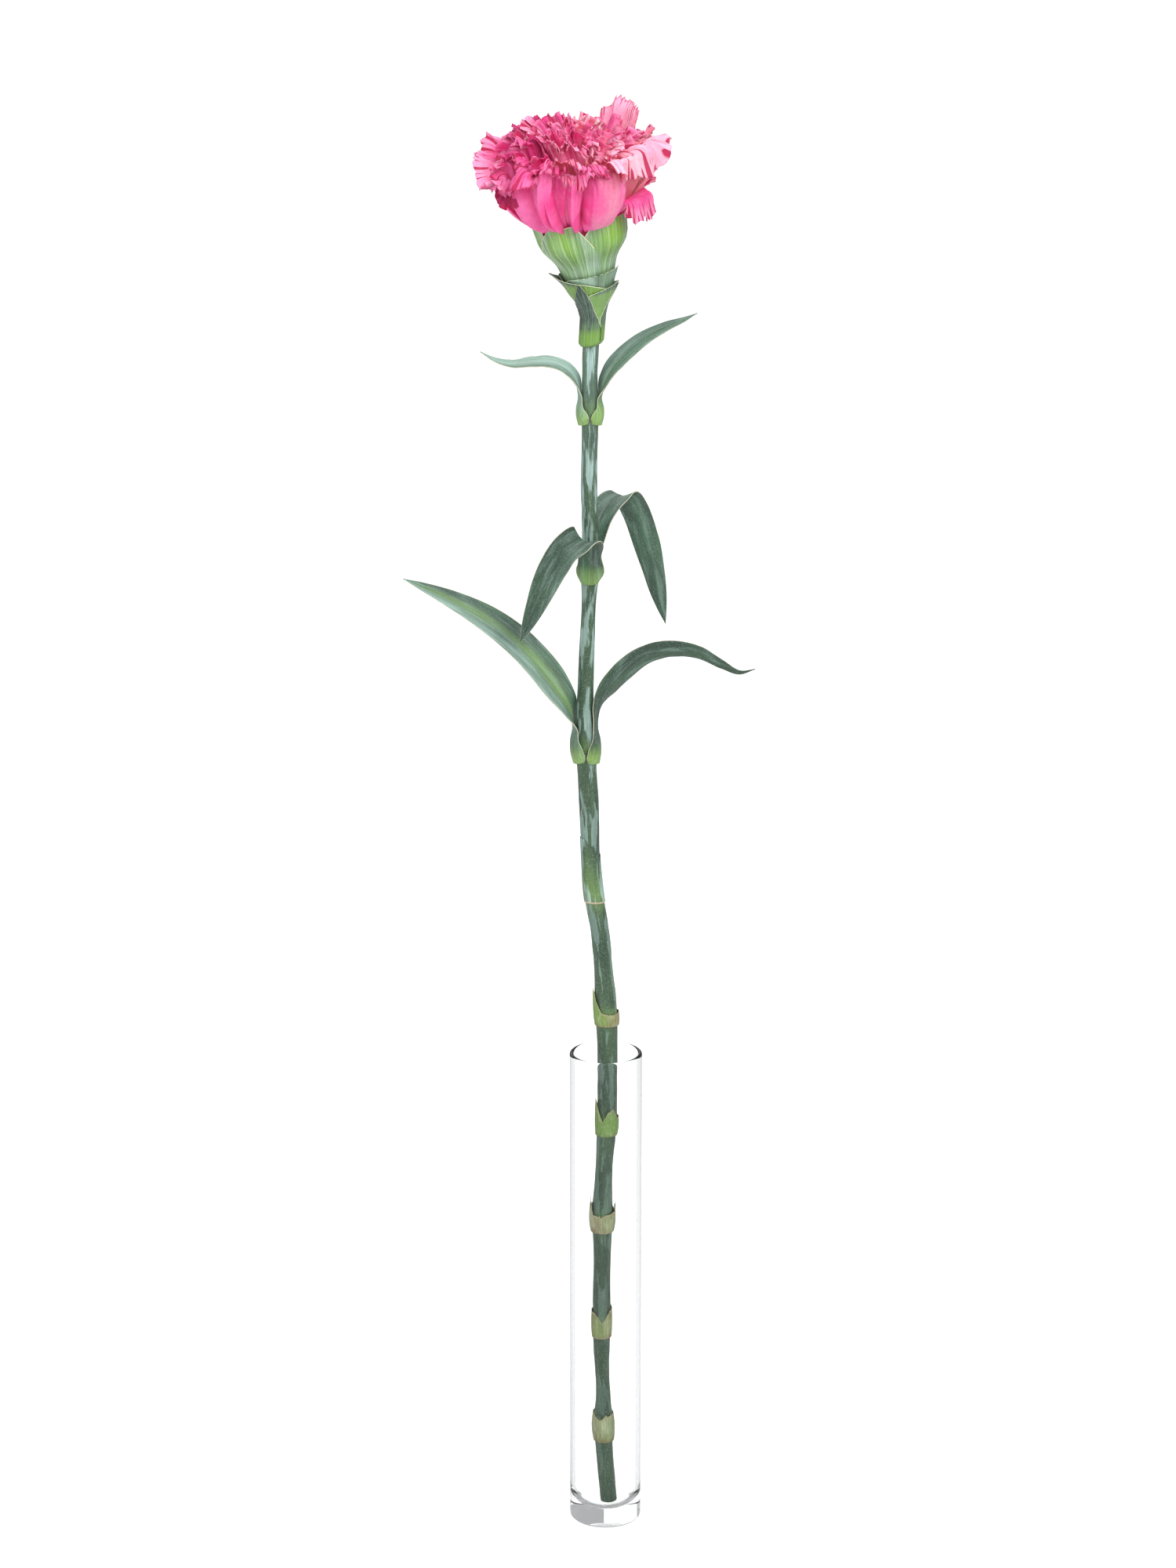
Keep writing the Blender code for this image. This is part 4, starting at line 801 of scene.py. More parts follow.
def makeLeaf(name, shape):
    # the middle line clasps the stem, then follows the route. Each section is an arc across it: half width times
    # sin(opening * s) / sin(opening) sideways and (1 - cos) of it upwards, with a shallow keel along the middle
    rows, columns = leafMake["rows"], leafMake["columns"]
    out = np.array([math.cos(math.radians(shape["azimuth"])), math.sin(math.radians(shape["azimuth"])), 0.0])
    lift = np.linspace(0.0, 1.0, 4)
    foot = stemAt(shape["foot"] + lift * shape["sheath"])
    stand = 0.3 + leafMake["thick"] / 2 + 0.6 * shape["swell"] * np.sin(np.pi * np.minimum(1.0, lift * 0.9 + 0.1))
    clasped = foot[:, :3] + out * (foot[:, 3:] + stand[:, None])
    firstRows = np.concatenate([clasped, np.tile(np.cross([0.0, 0.0, 1.0], out), (4, 1))], 1)
    guide = np.concatenate([firstRows, np.array(shape["route"])])
    knots = np.concatenate([[0.0], np.cumsum(np.linalg.norm(np.diff(guide[:, :3], axis=0), axis=1))])
    path = curveThrough(knots / knots[-1], guide, np.linspace(0.0, 1.0, rows) ** 1.05)
    line = path[:, :3]
    tangent = unit(np.gradient(line, axis=0))
    side = path[:, 3:]
    side = unit(side - tangent * np.sum(side * tangent, axis=1, keepdims=True))
    upper = np.cross(tangent, side)
    length = np.concatenate([[0.0], np.cumsum(np.linalg.norm(np.diff(line, axis=0), axis=1))])
    clasp = smooth(1.0 - (length - shape["sheath"] * 0.45) / (shape["sheath"] * 0.95))
    t = length / length[-1]
    taper = (1.0 - np.clip((t - 0.35) / 0.65, 0.0, 1.0) ** shape["blunt"]) ** 0.95
    blade = shape["width"] * (0.60 + 0.40 * smooth(t / 0.35)) * taper
    blade = blade * (1.0 + 0.03 * softNoise(t * 9.0, shape["seed"]))
    onStem = stemAt(np.minimum(shape["foot"] + length, shape["foot"] + shape["sheath"]))
    hug = onStem[:, 3] + 0.3 + leafMake["thick"] / 2
    hug = hug + 0.6 * shape["swell"] * np.sin(np.pi * np.minimum(1.0, 0.9 * length / shape["sheath"] + 0.1))
    hug = hug - 0.75 * np.exp(-(length / 1.3) ** 2)
    halfWidth = (clasp * hug + (1 - clasp) * np.maximum(blade, 0.16))[:, None]
    sheathOpen = leafMake["openSheath"] + 7.0 * np.exp(-(length / 3.5) ** 2) - 14.0 * smooth(length / shape["sheath"])
    opening = np.radians(clasp * sheathOpen + (1 - clasp) * leafMake["openBlade"])[:, None]
    across = np.linspace(-1.0, 1.0, columns)[None, :]
    sideways = halfWidth * np.sin(opening * across) / np.sin(opening)
    sag = halfWidth * (1 - np.cos(opening * across)) / np.sin(opening)
    flat = (1.0 - clasp)[:, None] * np.minimum(1.0, blade[:, None] / 2.0)
    sag = sag - leafMake["keel"] * np.exp(-(across / 0.13) ** 2) * flat
    sag = sag + 0.12 * flat * softNoise(t[:, None] * 26.0 + 3.0 * across, shape["seed"] + 20) * across**2
    middle = line[:, None, :] + sideways[..., None] * side[:, None, :] + sag[..., None] * upper[:, None, :]
    thick = leafMake["thick"] * (1.0 - 0.55 * t[:, None] ** 3) * (1.0 - 0.62 * np.abs(across) ** 5)
    free = 1.0 - clasp[:, None]
    tone = shape["fresh"] * np.exp(-(across / 0.42) ** 2) * free + 0.15 * softNoise(t * 7.0, 3)[:, None]
    tone = tone + shape["footTone"] * np.exp(-(length[:, None] / shape["footReach"]) ** 2) - shape["dark"] * free
    bloom = blend(shape["bloomInside"], shape["bloomLow"], smooth(across * 1.2)) * smooth(t[:, None] * 4.0)
    edge = np.abs(across) * np.ones((rows, 1))
    grain = np.stack(np.broadcast_arrays(sideways, sag, length[:, None] + 40.0 * shape["seed"]), -1)
    part = sheetPart(middle, thick, {"tone": tone, "edge": edge, "bloom": bloom}, grain)
    half = rows * columns
    footFade = 1.0 - 0.9 * np.exp(-(length[:, None] / 8.0) ** 2) * np.ones_like(across)
    part[3]["bloom"][:half] = (shape["bloomOutside"] * footFade).reshape(-1)
    return joinParts(name + "_blade", [part])


for name, shape in leafShapes.items():
    finishPiece(makeLeaf(name, shape), leafMaterial, "leaf", name)
print("leaves made")


# foot height, then azimuth and top height round the stem, how far the wall stands off low and high, and raggedness
sheathShapes = {
    "leaf_scar_1": {"foot": 30.0,
                    "tops": ((-180, 42.0), (-140, 40.5), (-105, 39.2), (-80, 40.6), (-20, 41.2), (90, 40.5)),
                    "swell": 0.50, "flare": 0.20, "rag": 0.9, "tone": 0.55, "bloom": 0.45, "rims": (0.0, 1.0),
                    "green": -60.0, "seed": 31},
    "leaf_scar_2": {"foot": 70.0,
                    "tops": ((-180, 81.0), (-130, 80.0), (-85, 76.6), (-45, 80.6), (20, 82.0), (90, 81.0)),
                    "swell": 0.45, "flare": 0.18, "rag": 0.9, "tone": 0.55, "bloom": 0.10, "rims": (0.0, 1.0),
                    "green": -100.0, "seed": 32},
    "leaf_scar_3": {"foot": 110.5,
                    "tops": ((-180, 122.0), (-168, 125.5), (-160, 119.5), (-152, 124.0), (-140, 118.6), (-90, 117.4),
                             (-30, 119.6), (0, 121.6), (20, 119.5), (90, 119.0)), "swell": 0.95, "flare": 0.50,
                    "rag": 1.2, "tone": 0.50, "bloom": 0.60, "rims": (0.0, 1.0), "green": -20.0, "seed": 33},
    "leaf_scar_4": {"foot": 147.0,
                    "tops": ((-180, 160.5), (-165, 161.5), (-140, 157.0), (-112, 152.5), (-85, 156.5), (-60, 157.6),
                             (-30, 154.0), (60, 154.0), (120, 156.0)), "swell": 0.65, "flare": 0.35, "rag": 0.4,
                    "tone": 1.00, "bloom": 0.0, "rims": (0.0, 1.0), "green": -90.0, "seed": 34},
    "leaf_scar_5": {"foot": 188.0,
                    "tops": ((-180, 201.5), (-165, 202.5), (-140, 197.5), (-112, 193.6), (-60, 192.6), (0, 193.2),
                             (40, 193.6), (120, 197.0)), "swell": 0.60, "flare": 0.35, "rag": 0.5, "tone": 0.85,
                    "bloom": 0.05, "rims": (0.7, 1.0), "green": -165.0, "seed": 35},
    "leaf_scar_6": {"foot": 233.5,
                    "tops": ((-180, 258.0), (-130, 257.6), (-95, 256.0), (-70, 253.0), (-20, 251.0), (60, 252.5),
                             (130, 257.0)), "swell": 0.10, "flare": 0.0, "rag": 0.6, "tone": 0.85, "fade": 0.95,
                    "bloom": -0.24, "rims": (0.9, 0.0), "green": -90.0, "seed": 36},
}


def sheathTop(shape, turns):
    # the torn edge: the given heights joined smoothly round the stem, less random notches
    tops = np.array(shape["tops"], float)
    azimuth = (np.degrees(turns) + 180.0) % 360.0 - 180.0
    ring = np.concatenate([tops, [[tops[0, 0] + 360.0, tops[0, 1]]]])
    height = np.interp(azimuth, ring[:, 0], ring[:, 1])
    wide, fine = softNoise(azimuth / 9.0, shape["seed"]), softNoise(azimuth / 3.5, shape["seed"] + 1)
    return height - shape["rag"] * (np.abs(wide) + 0.6 * np.abs(fine))


def makeSheath(name, shape):
    # a thin shell round the stem from the joint to the torn edge, standing off by swell low down and flare on top
    rows, columns = 36, 144
    turns = np.linspace(0.0, 2 * math.pi, columns, endpoint=False)[None, :]
    share = np.linspace(0.0, 1.0, rows)[:, None]
    top = sheathTop(shape, turns)
    height = shape["foot"] + share * (top - shape["foot"])
    centre = stemAt(height)
    away = 0.16 + shape["swell"] * np.sin(np.pi * np.minimum(1.0, 0.12 + 0.75 * share)) * (1.0 - 0.5 * share)
    wavy = np.abs(softNoise(np.degrees(turns) / 22.0, shape["seed"] + 2))
    away = away + shape["flare"] * share**2 * (0.6 + 0.8 * wavy)
    away = away + 0.05 * np.sin(26 * turns) * share
    wall = 0.10 + 0.28 * (1.0 - share) ** 1.5
    outer = centre[..., 3] + away + wall / 2
    inner = np.maximum(centre[..., 3] + away - wall / 2, centre[..., 3] + 0.12)
    ring = np.stack(np.broadcast_arrays(np.cos(turns), np.sin(turns)), -1)
    walls = [np.concatenate([centre[..., :2] + r[..., None] * ring, height[..., None]], -1) for r in (outer, inner)]
    beside = np.cos(turns - math.radians(shape["green"]))
    tone = shape["tone"] * (0.55 + 0.45 * beside) * (1.0 - shape.get("fade", 0.0) * share)
    tone = tone - 0.35 * np.exp(-(share / 0.10) ** 2)
    low, high = shape["rims"]
    edge = (high * smooth((share - 0.84) / 0.16) + low * smooth((0.06 - share) / 0.03)) * np.ones_like(turns)
    mottle = softNoise(np.degrees(turns) / 30.0, shape["seed"] + 3)
    bloom = shape["bloom"] * smooth(share * 2.0) * (0.6 + 0.5 * mottle)
    grain = np.stack([outer * ring[..., 0], outer * ring[..., 1], height], -1)
    return joinParts(name + "_sheath", [shellPart(*walls, {"tone": tone, "edge": edge, "bloom": bloom}, grain)])


for name, shape in sheathShapes.items():
    finishPiece(makeSheath(name, shape), scarMaterial if "fade" in shape else sheathMaterial, "dry_sheath", name)
print("sheaths made")


# the CAD pistil stays and gets a creamy, lightly mottled finish
pistilLook = {"green": (0.62, 0.68, 0.36), "cream": (0.82, 0.84, 0.66), "roughness": (0.45, 0.65)}


def makePistilMaterial(look):
    made, tree, shader = newMaterial("pistilCream")
    noise = objectNoise(tree, 700.0, 3.0)
    wire(tree, (mixColour(tree, look["green"], look["cream"], noise), shader.inputs["Base Color"]),
         (rangeNode(tree, noise, 0.3, 0.7, *look["roughness"]), shader.inputs["Roughness"]))
    bumpFrom(tree, shader, noise, 0.2, 0.2)
    return made


for materialSlot in bpy.data.objects["pistil"].material_slots:
    materialSlot.material = makePistilMaterial(pistilLook)


# whorls from the outside in: share of the calyx radius at the mouth, number of petals, first azimuth, half spread,
# radius and height of the crest, length of the lip past it and how far the lip turns over, pleats, frills, and how
# much height, tilt and paleness vary from petal to petal
whorls = {
    "guard": {"share": 0.92, "count": 8, "first": 22.5, "spread": 25.0, "crest": (26.6, 50.5), "lip": 5.5,
              "roll": 95.0, "bulge": 0.9, "cup": 1.6, "pleats": 1.4, "pleatDepth": 1.2, "frills": 7,
              "frillDepth": 0.8, "vary": 0.6},
    "second": {"share": 0.825, "count": 8, "first": 2.0, "spread": 25.0, "crest": (25.0, 54.8), "lip": 6.0,
               "roll": 85.0, "bulge": 0.7, "cup": 1.4, "pleats": 1.6, "pleatDepth": 1.5, "frills": 11,
               "frillDepth": 0.9, "vary": 0.8},
    "third": {"share": 0.72, "count": 7, "first": 10.0, "spread": 27.0, "crest": (20.6, 55.6), "lip": 6.5,
              "roll": 50.0, "bulge": 0.4, "cup": 0.8, "pleats": 1.8, "pleatDepth": 1.8, "frills": 12,
              "frillDepth": 0.9, "vary": 1.4},
    "fourth": {"share": 0.615, "count": 6, "first": 26.0, "spread": 33.0, "crest": (16.2, 58.8), "lip": 6.0,
               "roll": 35.0, "bulge": 0.2, "cup": 0.4, "pleats": 2.2, "pleatDepth": 2.0, "frills": 13,
               "frillDepth": 0.9, "vary": 1.6},
    "fifth": {"share": 0.505, "count": 5, "first": 0.0, "spread": 39.0, "crest": (11.2, 60.8), "lip": 5.2,
              "roll": 25.0, "bulge": 0.1, "cup": 0.2, "pleats": 2.4, "pleatDepth": 2.2, "frills": 13,
              "frillDepth": 0.9, "vary": 1.6},
    "heart": {"share": 0.395, "count": 3, "first": 20.0, "spread": 62.0, "crest": (5.8, 62.2), "lip": 4.4,
              "roll": 20.0, "bulge": 0.0, "cup": 0.0, "pleats": 3.0, "pleatDepth": 2.0, "frills": 13,
              "frillDepth": 0.9, "vary": 1.4},
}
# petals that fill the spaces between the whorls, with no CAD node of their own
fillWhorls = {
    "fillerA": {"share": 0.87, "count": 8, "first": 14.0, "spread": 19.0, "crest": (22.6, 53.2), "lip": 6.2,
                "roll": 60.0, "bulge": 0.5, "cup": 0.8, "pleats": 1.5, "pleatDepth": 1.8, "frills": 11,
                "frillDepth": 1.0, "vary": 1.2},
    "fillerB": {"share": 0.77, "count": 8, "first": 36.0, "spread": 20.0, "crest": (18.4, 57.2), "lip": 5.8,
                "roll": 40.0, "bulge": 0.3, "cup": 0.5, "pleats": 1.6, "pleatDepth": 2.2, "frills": 11,
                "frillDepth": 1.0, "vary": 1.8},
    "fillerC": {"share": 0.66, "count": 7, "first": 0.0, "spread": 24.0, "crest": (13.8, 59.8), "lip": 5.2,
                "roll": 30.0, "bulge": 0.2, "cup": 0.3, "pleats": 1.8, "pleatDepth": 2.3, "frills": 11,
                "frillDepth": 1.0, "vary": 1.8},
    "fillerD": {"share": 0.56, "count": 5, "first": 40.0, "spread": 34.0, "crest": (8.6, 61.6), "lip": 4.8,
                "roll": 25.0, "bulge": 0.1, "cup": 0.0, "pleats": 2.2, "pleatDepth": 2.2, "frills": 12,
                "frillDepth": 1.0, "vary": 1.6},
    "fillerE": {"share": 0.45, "count": 2, "first": 80.0, "spread": 80.0, "crest": (3.0, 62.8), "lip": 3.6,
                "roll": 20.0, "bulge": 0.0, "cup": 0.0, "pleats": 2.5, "pleatDepth": 1.6, "frills": 11,
                "frillDepth": 0.9, "vary": 1.2},
}
# petals that differ from their whorl. A fold is (place across, width, depth outward, share of the height where it is
# deepest, what is left of it at the margin, sideways slant)
oddPetals = {
    "guard_1": {"crest": (24.0, 42.0), "droop": 0.3, "lip": 3.5, "roll": 40.0},
    "guard_2": {"crest": (26.2, 50.5)},
    "guard_3": {"crest": (26.2, 50.5)},
    "guard_4": {"crest": (27.0, 45.0), "droop": 0.2, "tone": 0.05},
    "guard_5": {"crest": (23.0, 46.0), "droop": 0.3, "azimuth": 209.0, "spread": 12.0, "tone": -0.75, "streak": 0.2,
                "lip": 7.0, "roll": 95.0, "bulge": 0.4, "cup": 0.5},
    "guard_6": {"shade": 0.16, "azimuth": 256.0, "spread": 22.0, "bulge": 0.9, "pleatDepth": 0.2, "tone": 0.0,
                "crest": (22.6, 49.5), "lip": 3.0, "roll": 30.0, "cup": 1.0, "frillDepth": 0.3,
                "folds": ((-0.52, 0.12, 4.4, 0.42, 0.8, -0.50), (-0.08, 0.24, -7.5, 0.40, 0.4, -0.30),
                          (0.46, 0.13, 4.6, 0.40, 0.8, -0.35), (0.88, 0.14, -2.5, 0.6, 0.5, 0.0))},
    "guard_7": {"shade": 0.16, "azimuth": 295.0, "spread": 25.0, "bulge": 1.5, "cup": 4.2, "pleatDepth": 0.2,
                "frillDepth": 0.3, "tone": 0.12, "toneRight": 0.26, "crest": (25.0, 50.2), "lip": 3.5, "roll": -70.0,
                "streak": 0.4, "folds": ((-0.30, 0.5, 2.0, 0.5, 0.4, 0.1), (0.45, 0.10, -1.0, 0.75, 0.9, 0.2))},
    "guard_8": {"crest": (21.5, 39.8), "droop": 0.3, "tone": -0.14, "lip": 11.0, "roll": 72.0, "spread": 27.0,
                "azimuth": 340.0, "cup": 0.0, "bulge": 0.2, "frillDepth": 0.7, "pleatDepth": 0.7},
    "second_1": {"crest": (27.0, 51.0), "droop": 0.2, "tone": 0.62, "lip": 7.0, "roll": 45.0, "tilt": 3.0, "cup": 0.5,
                 "pleatDepth": 0.8, "frillDepth": 0.6, "azimuth": 8.0},
    "second_3": {"crest": (24.5, 54.8)},
    "second_5": {"crest": (20.5, 49.0), "tone": 0.10, "streak": 2.2, "lip": 15.0, "roll": 62.0, "tilt": -6.5,
                 "bulge": 0.1, "spread": 31.0, "pleatDepth": 0.9, "cup": 0.0, "azimuth": 184.0},
    "second_6": {"shade": 0.12, "azimuth": 224.0, "bulge": 1.15, "cup": 1.2, "pleatDepth": 0.8, "tone": 0.05,
                 "lip": 9.5, "roll": 128.0, "streak": 2.2, "crest": (24.0, 50.6), "tilt": 1.5,
                 "folds": ((-0.25, 0.35, 2.4, 0.5, 0.9, -0.2), (0.30, 0.14, -2.2, 0.55, 0.8, -0.3),
                           (0.72, 0.18, 2.6, 0.5, 0.6, -0.2))},
    "second_7": {"azimuth": 268.0, "tone": 0.15, "lip": 10.0, "roll": 118.0, "streak": 2.2, "crest": (21.8, 52.5),
                 "bulge": 0.5, "pleatDepth": 1.0,
                 "folds": ((-0.15, 0.35, 3.0, 0.8, 1.0, 0.0), (0.55, 0.25, -2.0, 0.8, 1.0, 0.0))},
    "second_8": {"azimuth": 320.0, "spread": 25.0, "crest": (23.5, 55.5), "bulge": 0.3, "tone": 0.70, "streak": 2.4,
                 "lip": 15.2, "roll": 140.0, "tilt": 3.0, "pleatDepth": 0.4, "cup": 0.0, "frillDepth": 0.6,
                 "folds": ((0.25, 0.22, -2.4, 0.6, 0.8, 0.1), (-0.3, 0.4, 1.6, 0.6, 0.8, 0.1))},
    "fourth_1": {"crest": (21.5, 66.0), "tone": 0.60, "spread": 32.0, "frillDepth": 0.7, "frills": 3, "pleats": 0.8,
                 "pleatDepth": 1.0, "bulge": 0.0, "lip": 5.0, "roll": 35.0, "vary": 0.0},
}
petalMake = {"clawRows": 6, "bladeRows": 38, "columns": 104, "thick": 0.22, "corner": 0.13, "overlap": 0.8,
             "warp": 0.9, "toothPitch": 1.5, "toothDepth": 1.5, "bendShare": 0.45}


def bladeLine(mouth, crest, shape, t, q):
    # up to the crest: a cubic Bezier curve in radius and height that bulges near the calyx. Past it: an arc that
    # turns down by the roll, then a straight flap. Also gives the slope angle
    (r0, z0), (r3, z3) = mouth, crest
    droop, bulge = shape["droop"], shape["bulge"]
    out, rise = r3 - r0, z3 - z0
    r1, z1 = r0 + (0.28 + 0.30 * bulge) * out, z0 + (0.30 - 0.12 * bulge) * rise + 5.0 * droop
    r2, z2 = r3 - (0.28 - 0.25 * bulge) * out, z3 - (0.26 + 0.20 * bulge) * rise * (1.0 - droop) + 8.0 * droop
    w = ((1 - t) ** 3, 3 * t * (1 - t) ** 2, 3 * t**2 * (1 - t), t**3)
    d = (3 * (1 - t) ** 2, 6 * t * (1 - t), 3 * t**2)
    radius = w[0] * r0 + w[1] * r1 + w[2] * r2 + w[3] * r3
    height = w[0] * z0 + w[1] * z1 + w[2] * z2 + w[3] * z3
    slope = np.arctan2(d[0] * (z1 - z0) + d[1] * (z2 - z1) + d[2] * (z3 - z2),
                       d[0] * (r1 - r0) + d[1] * (r2 - r1) + d[2] * (r3 - r2))
    turn, bend = shape["rollHere"], petalMake["bendShare"]
    size = shape["lip"] * bend / turn
    curved, flap = np.minimum(q / bend, 1.0), np.maximum(q - bend, 0.0) * shape["lip"]
    last = slope - turn * curved
    radius = radius + size * (np.sin(slope) - np.sin(last)) + flap * np.cos(last)
    height = height + size * (np.cos(last) - np.cos(slope)) + flap * np.sin(last)
    return radius, height, last


def warpHead(local):
    # slow waves through the whole crown, the same for every petal, so that neighbours move together
    x, y, z = local[..., 0], local[..., 1], local[..., 2]
    grow = petalMake["warp"] * smooth((z - 33.0) / 20.0)
    shift = np.stack([np.sin(0.21 * y + 0.9) + np.sin(0.17 * x + 0.13 * z + 2.0),
                      0.7 * np.sin(0.19 * x + 2.2) + 0.7 * np.sin(0.16 * y - 0.11 * z + 4.1),
                      0.8 * np.sin(0.23 * x + 0.19 * y + 1.3) + 0.6 * np.sin(0.29 * y - 0.21 * x)], -1)
    return local + grow[..., None] * shift


def makePetal(name, shape, seed):
    # u runs across and v from the calyx's mouth to the margin. Azimuth = middle + u * spread * opening(v). Radius and
    # height follow the blade's line, then move along its normal by pleats and folds that grow with v and by frills
    # near the margin; sideways shifts fold the frills over. The margin is cut into uneven teeth
    columns, bladeRows, clawRows = petalMake["columns"], petalMake["bladeRows"], petalMake["clawRows"]
    u = np.linspace(-1.0, 1.0, columns)[None, :]
    v = (np.linspace(0.0, 1.0, bladeRows) ** 0.8)[:, None]
    draw = np.random.default_rng(seed)
    phase = draw.uniform(0.0, 2 * math.pi, 6)
    vary = draw.uniform(-1.0, 1.0, 4) * shape["vary"]
    mouth = (shape["share"] * (calyxRadius(headShape["mouth"]) - 0.8), headShape["mouth"])
    crest = (shape["crest"][0] + 0.5 * vary[0], shape["crest"][1] + 1.2 * vary[1])
    spread = math.radians(shape["spread"])
    arc = 2 * spread * crest[0]
    mainLength = 1.08 * math.hypot(crest[0] - mouth[0], crest[1] - mouth[1])
    length = mainLength + shape["lip"]
    crestAt = mainLength / length
    saw = np.abs(((u + 1) / 2 * arc / petalMake["toothPitch"] + 0.7 * softNoise(u * 9.0 + seed, seed)) % 1.0 * 2 - 1)
    tooth = petalMake["toothDepth"] * saw * (0.75 + 0.6 * softNoise(u * 7.0 + 3.1, seed + 1))
    tooth = tooth + 0.35 * np.abs(softNoise(u * arc * 1.1, seed + 8))
    lobes = 1.8 * softNoise(u * 3.0 + 7.7, seed + 2)
    reach = v * (1.0 - petalMake["corner"] * u**2 * v) - (tooth + lobes) / length * smooth((v - 0.70) / 0.30)
    roll = math.radians(shape["roll"]) * (1.0 + 0.45 * softNoise(u * 2.2 + 5.0, seed + 6))
    lineShape = dict(shape, rollHere=np.where(np.abs(roll) < 0.1, 0.1, roll))
    radius, height, slope = bladeLine(mouth, crest, lineShape, np.clip(reach / crestAt, 0.0, 1.0),
                                      np.clip((reach - crestAt) / (1.0 - crestAt), 0.0, 1.2))
    pleat = 2 * math.pi * (shape["pleats"] * u / 2 + 0.12 * softNoise(v * 2.0, seed + 3)) + phase[0]
    push = shape["pleatDepth"] * v**1.1 * (np.sin(pleat) + 0.35 * np.sin(1.7 * pleat + phase[1]))
    push = push - shape["cup"] * np.abs(u) ** 3 * smooth(v * 2.5)
    for place, width, depth, peak, left, slant in shape["folds"]:
        strength = smooth(v / peak) * (1.0 - (1.0 - left) * smooth((v - peak) / (1.0 - peak)))
        push = push + depth * strength * np.exp(-np.abs((u - place - slant * (v - 0.5)) / width) ** 1.6)
    frill = 2 * math.pi * (shape["frills"] * u / 2 + 0.30 * softNoise(u * 3.0, seed + 4)) + phase[2]
    frillGrow = smooth((v - 0.45) / 0.55) ** 1.2
    deep = shape["frillDepth"] * frillGrow * (0.8 + 0.6 * softNoise(u * 4.0 + 1.3, seed + 5))
    push = push + 0.5 * v * softNoise(u * arc * 0.40 + 2.5 * softNoise(v * 4.0, seed + 9), seed + 10)
    push = push + deep * np.sin(frill) + 0.5 * deep * np.sin(2.3 * frill + phase[3]) * v**3
    sideways = 0.45 * deep * np.sin(2 * frill) + 0.45 * shape["pleatDepth"] * v * np.sin(2 * pleat)
    radius = radius + push * np.sin(slope) + petalMake["overlap"] * u * smooth(v * 2.0)
    height = height - push * np.cos(slope) + (shape["tilt"] + vary[2]) * u * v
    opening = 0.74 + 0.26 * v**0.6
    angle = math.radians(shape["azimuth"]) + u * spread * opening + sideways / np.maximum(radius, 6.0)
    clawHeight = np.linspace(headShape["receptacleTop"] + 0.3, headShape["mouth"], clawRows, endpoint=False)[:, None]
    clawRadius = shape["share"] * (calyxRadius(clawHeight) - 0.8) * np.ones_like(u)
    clawOpening = np.linspace(0.30, 0.74, clawRows, endpoint=False)[:, None]
    clawAngle = math.radians(shape["azimuth"]) + u * spread * clawOpening
    radius = np.concatenate([clawRadius, radius])
    angle = np.concatenate([clawAngle, angle])
    height = np.concatenate([clawHeight * np.ones_like(u), height])
    middle = toWorld(levelCrown(warpHead(polar(radius, angle, height))))
    allReach = np.concatenate([np.linspace(-0.6, 0.0, clawRows, endpoint=False)[:, None] * np.ones_like(u), reach])
    thick = petalMake["thick"] * (1.0 - 0.45 * np.clip(allReach, 0.0, 1.0) ** 4)
    clawZero = np.zeros((clawRows, columns))
    depth = length * (1.0 - np.concatenate([clawZero, v * np.ones_like(u)]))
    # the depth of the pleats and folds goes into the tone: painted shade in the hollows, a painted highlight on the
    # ridges
    paintedFoldShading = np.clip(shape["shade"] * np.concatenate([clawZero, push]), -3.5 * shape["shade"], 0.15)
    mottle = 0.10 * softNoise(allReach * 3.0 + 2.0 * u, seed + 7)
    tone = paintedFoldShading + shape["tone"] + 0.20 * vary[3] + shape["toneRight"] * u + mottle
    grain = np.stack(np.broadcast_arrays(u * arc / 2, depth, float(seed)), -1)
    floats = {"tone": np.clip(tone, -1.0, 1.0), "reach": allReach, "streak": np.full_like(tone, shape["streak"])}
    return joinParts(name, [sheetPart(middle, thick, floats, grain)])


petalNumber = 100
for table, hasNode in ((whorls, True), (fillWhorls, False)):
    for whorl, base in table.items():
        for number in range(1, base["count"] + 1):
            petalNumber += 1
            title = f"{whorl}_{number}"
            azimuth = base["first"] + (number - 1) * 360.0 / base["count"]
            # petals on the right (+X) get a paler tone: partly their own colour, partly painted light from the right
            rightPaleAndLit = 0.22 + 0.26 * math.cos(math.radians(azimuth))
            # shade sets how strongly the folds' depth is painted in as shade and highlight
            shape = {"azimuth": azimuth, "droop": 0.0, "tilt": 0.0, "tone": rightPaleAndLit, "toneRight": 0.0, "streak": 1.5,
                     "folds": (), "shade": 0.06}
            shape.update(base)
            shape["roll"] = base["roll"] + 40.0 * max(0.0, -math.sin(math.radians(azimuth)))
            shape.update(oddPetals.get(title, {}))
            if hasNode:
                finishPiece(makePetal(f"{title}_blade", shape, petalNumber), petalMaterial, "petal", f"petal_{title}")
            else:
                finishPiece(makePetal(f"{title}_blade", shape, petalNumber), petalMaterial, "petal")
print("petals made")


stageLook = {"floorRadius": 30.0, "floorSides": 96, "floorGap": 0.0004, "floorColour": 0.85, "floorSeen": 0.40,
             "floorGlow": 0.92, "worldLight": 0.46, "glossLight": 0.45}


def directView(tree, path):
    # 1 for a ray straight from the eye or on through glass, 0 once it has been reflected or left a dull surface
    turned = mathNode(tree, "ADD", path.outputs["Diffuse Depth"], path.outputs["Glossy Depth"])
    straight = mathNode(tree, "LESS_THAN", turned, 0.5)
    through = mathNode(tree, "MULTIPLY", path.outputs["Is Transmission Ray"], straight)
    return mathNode(tree, "MAXIMUM", path.outputs["Is Camera Ray"], through)


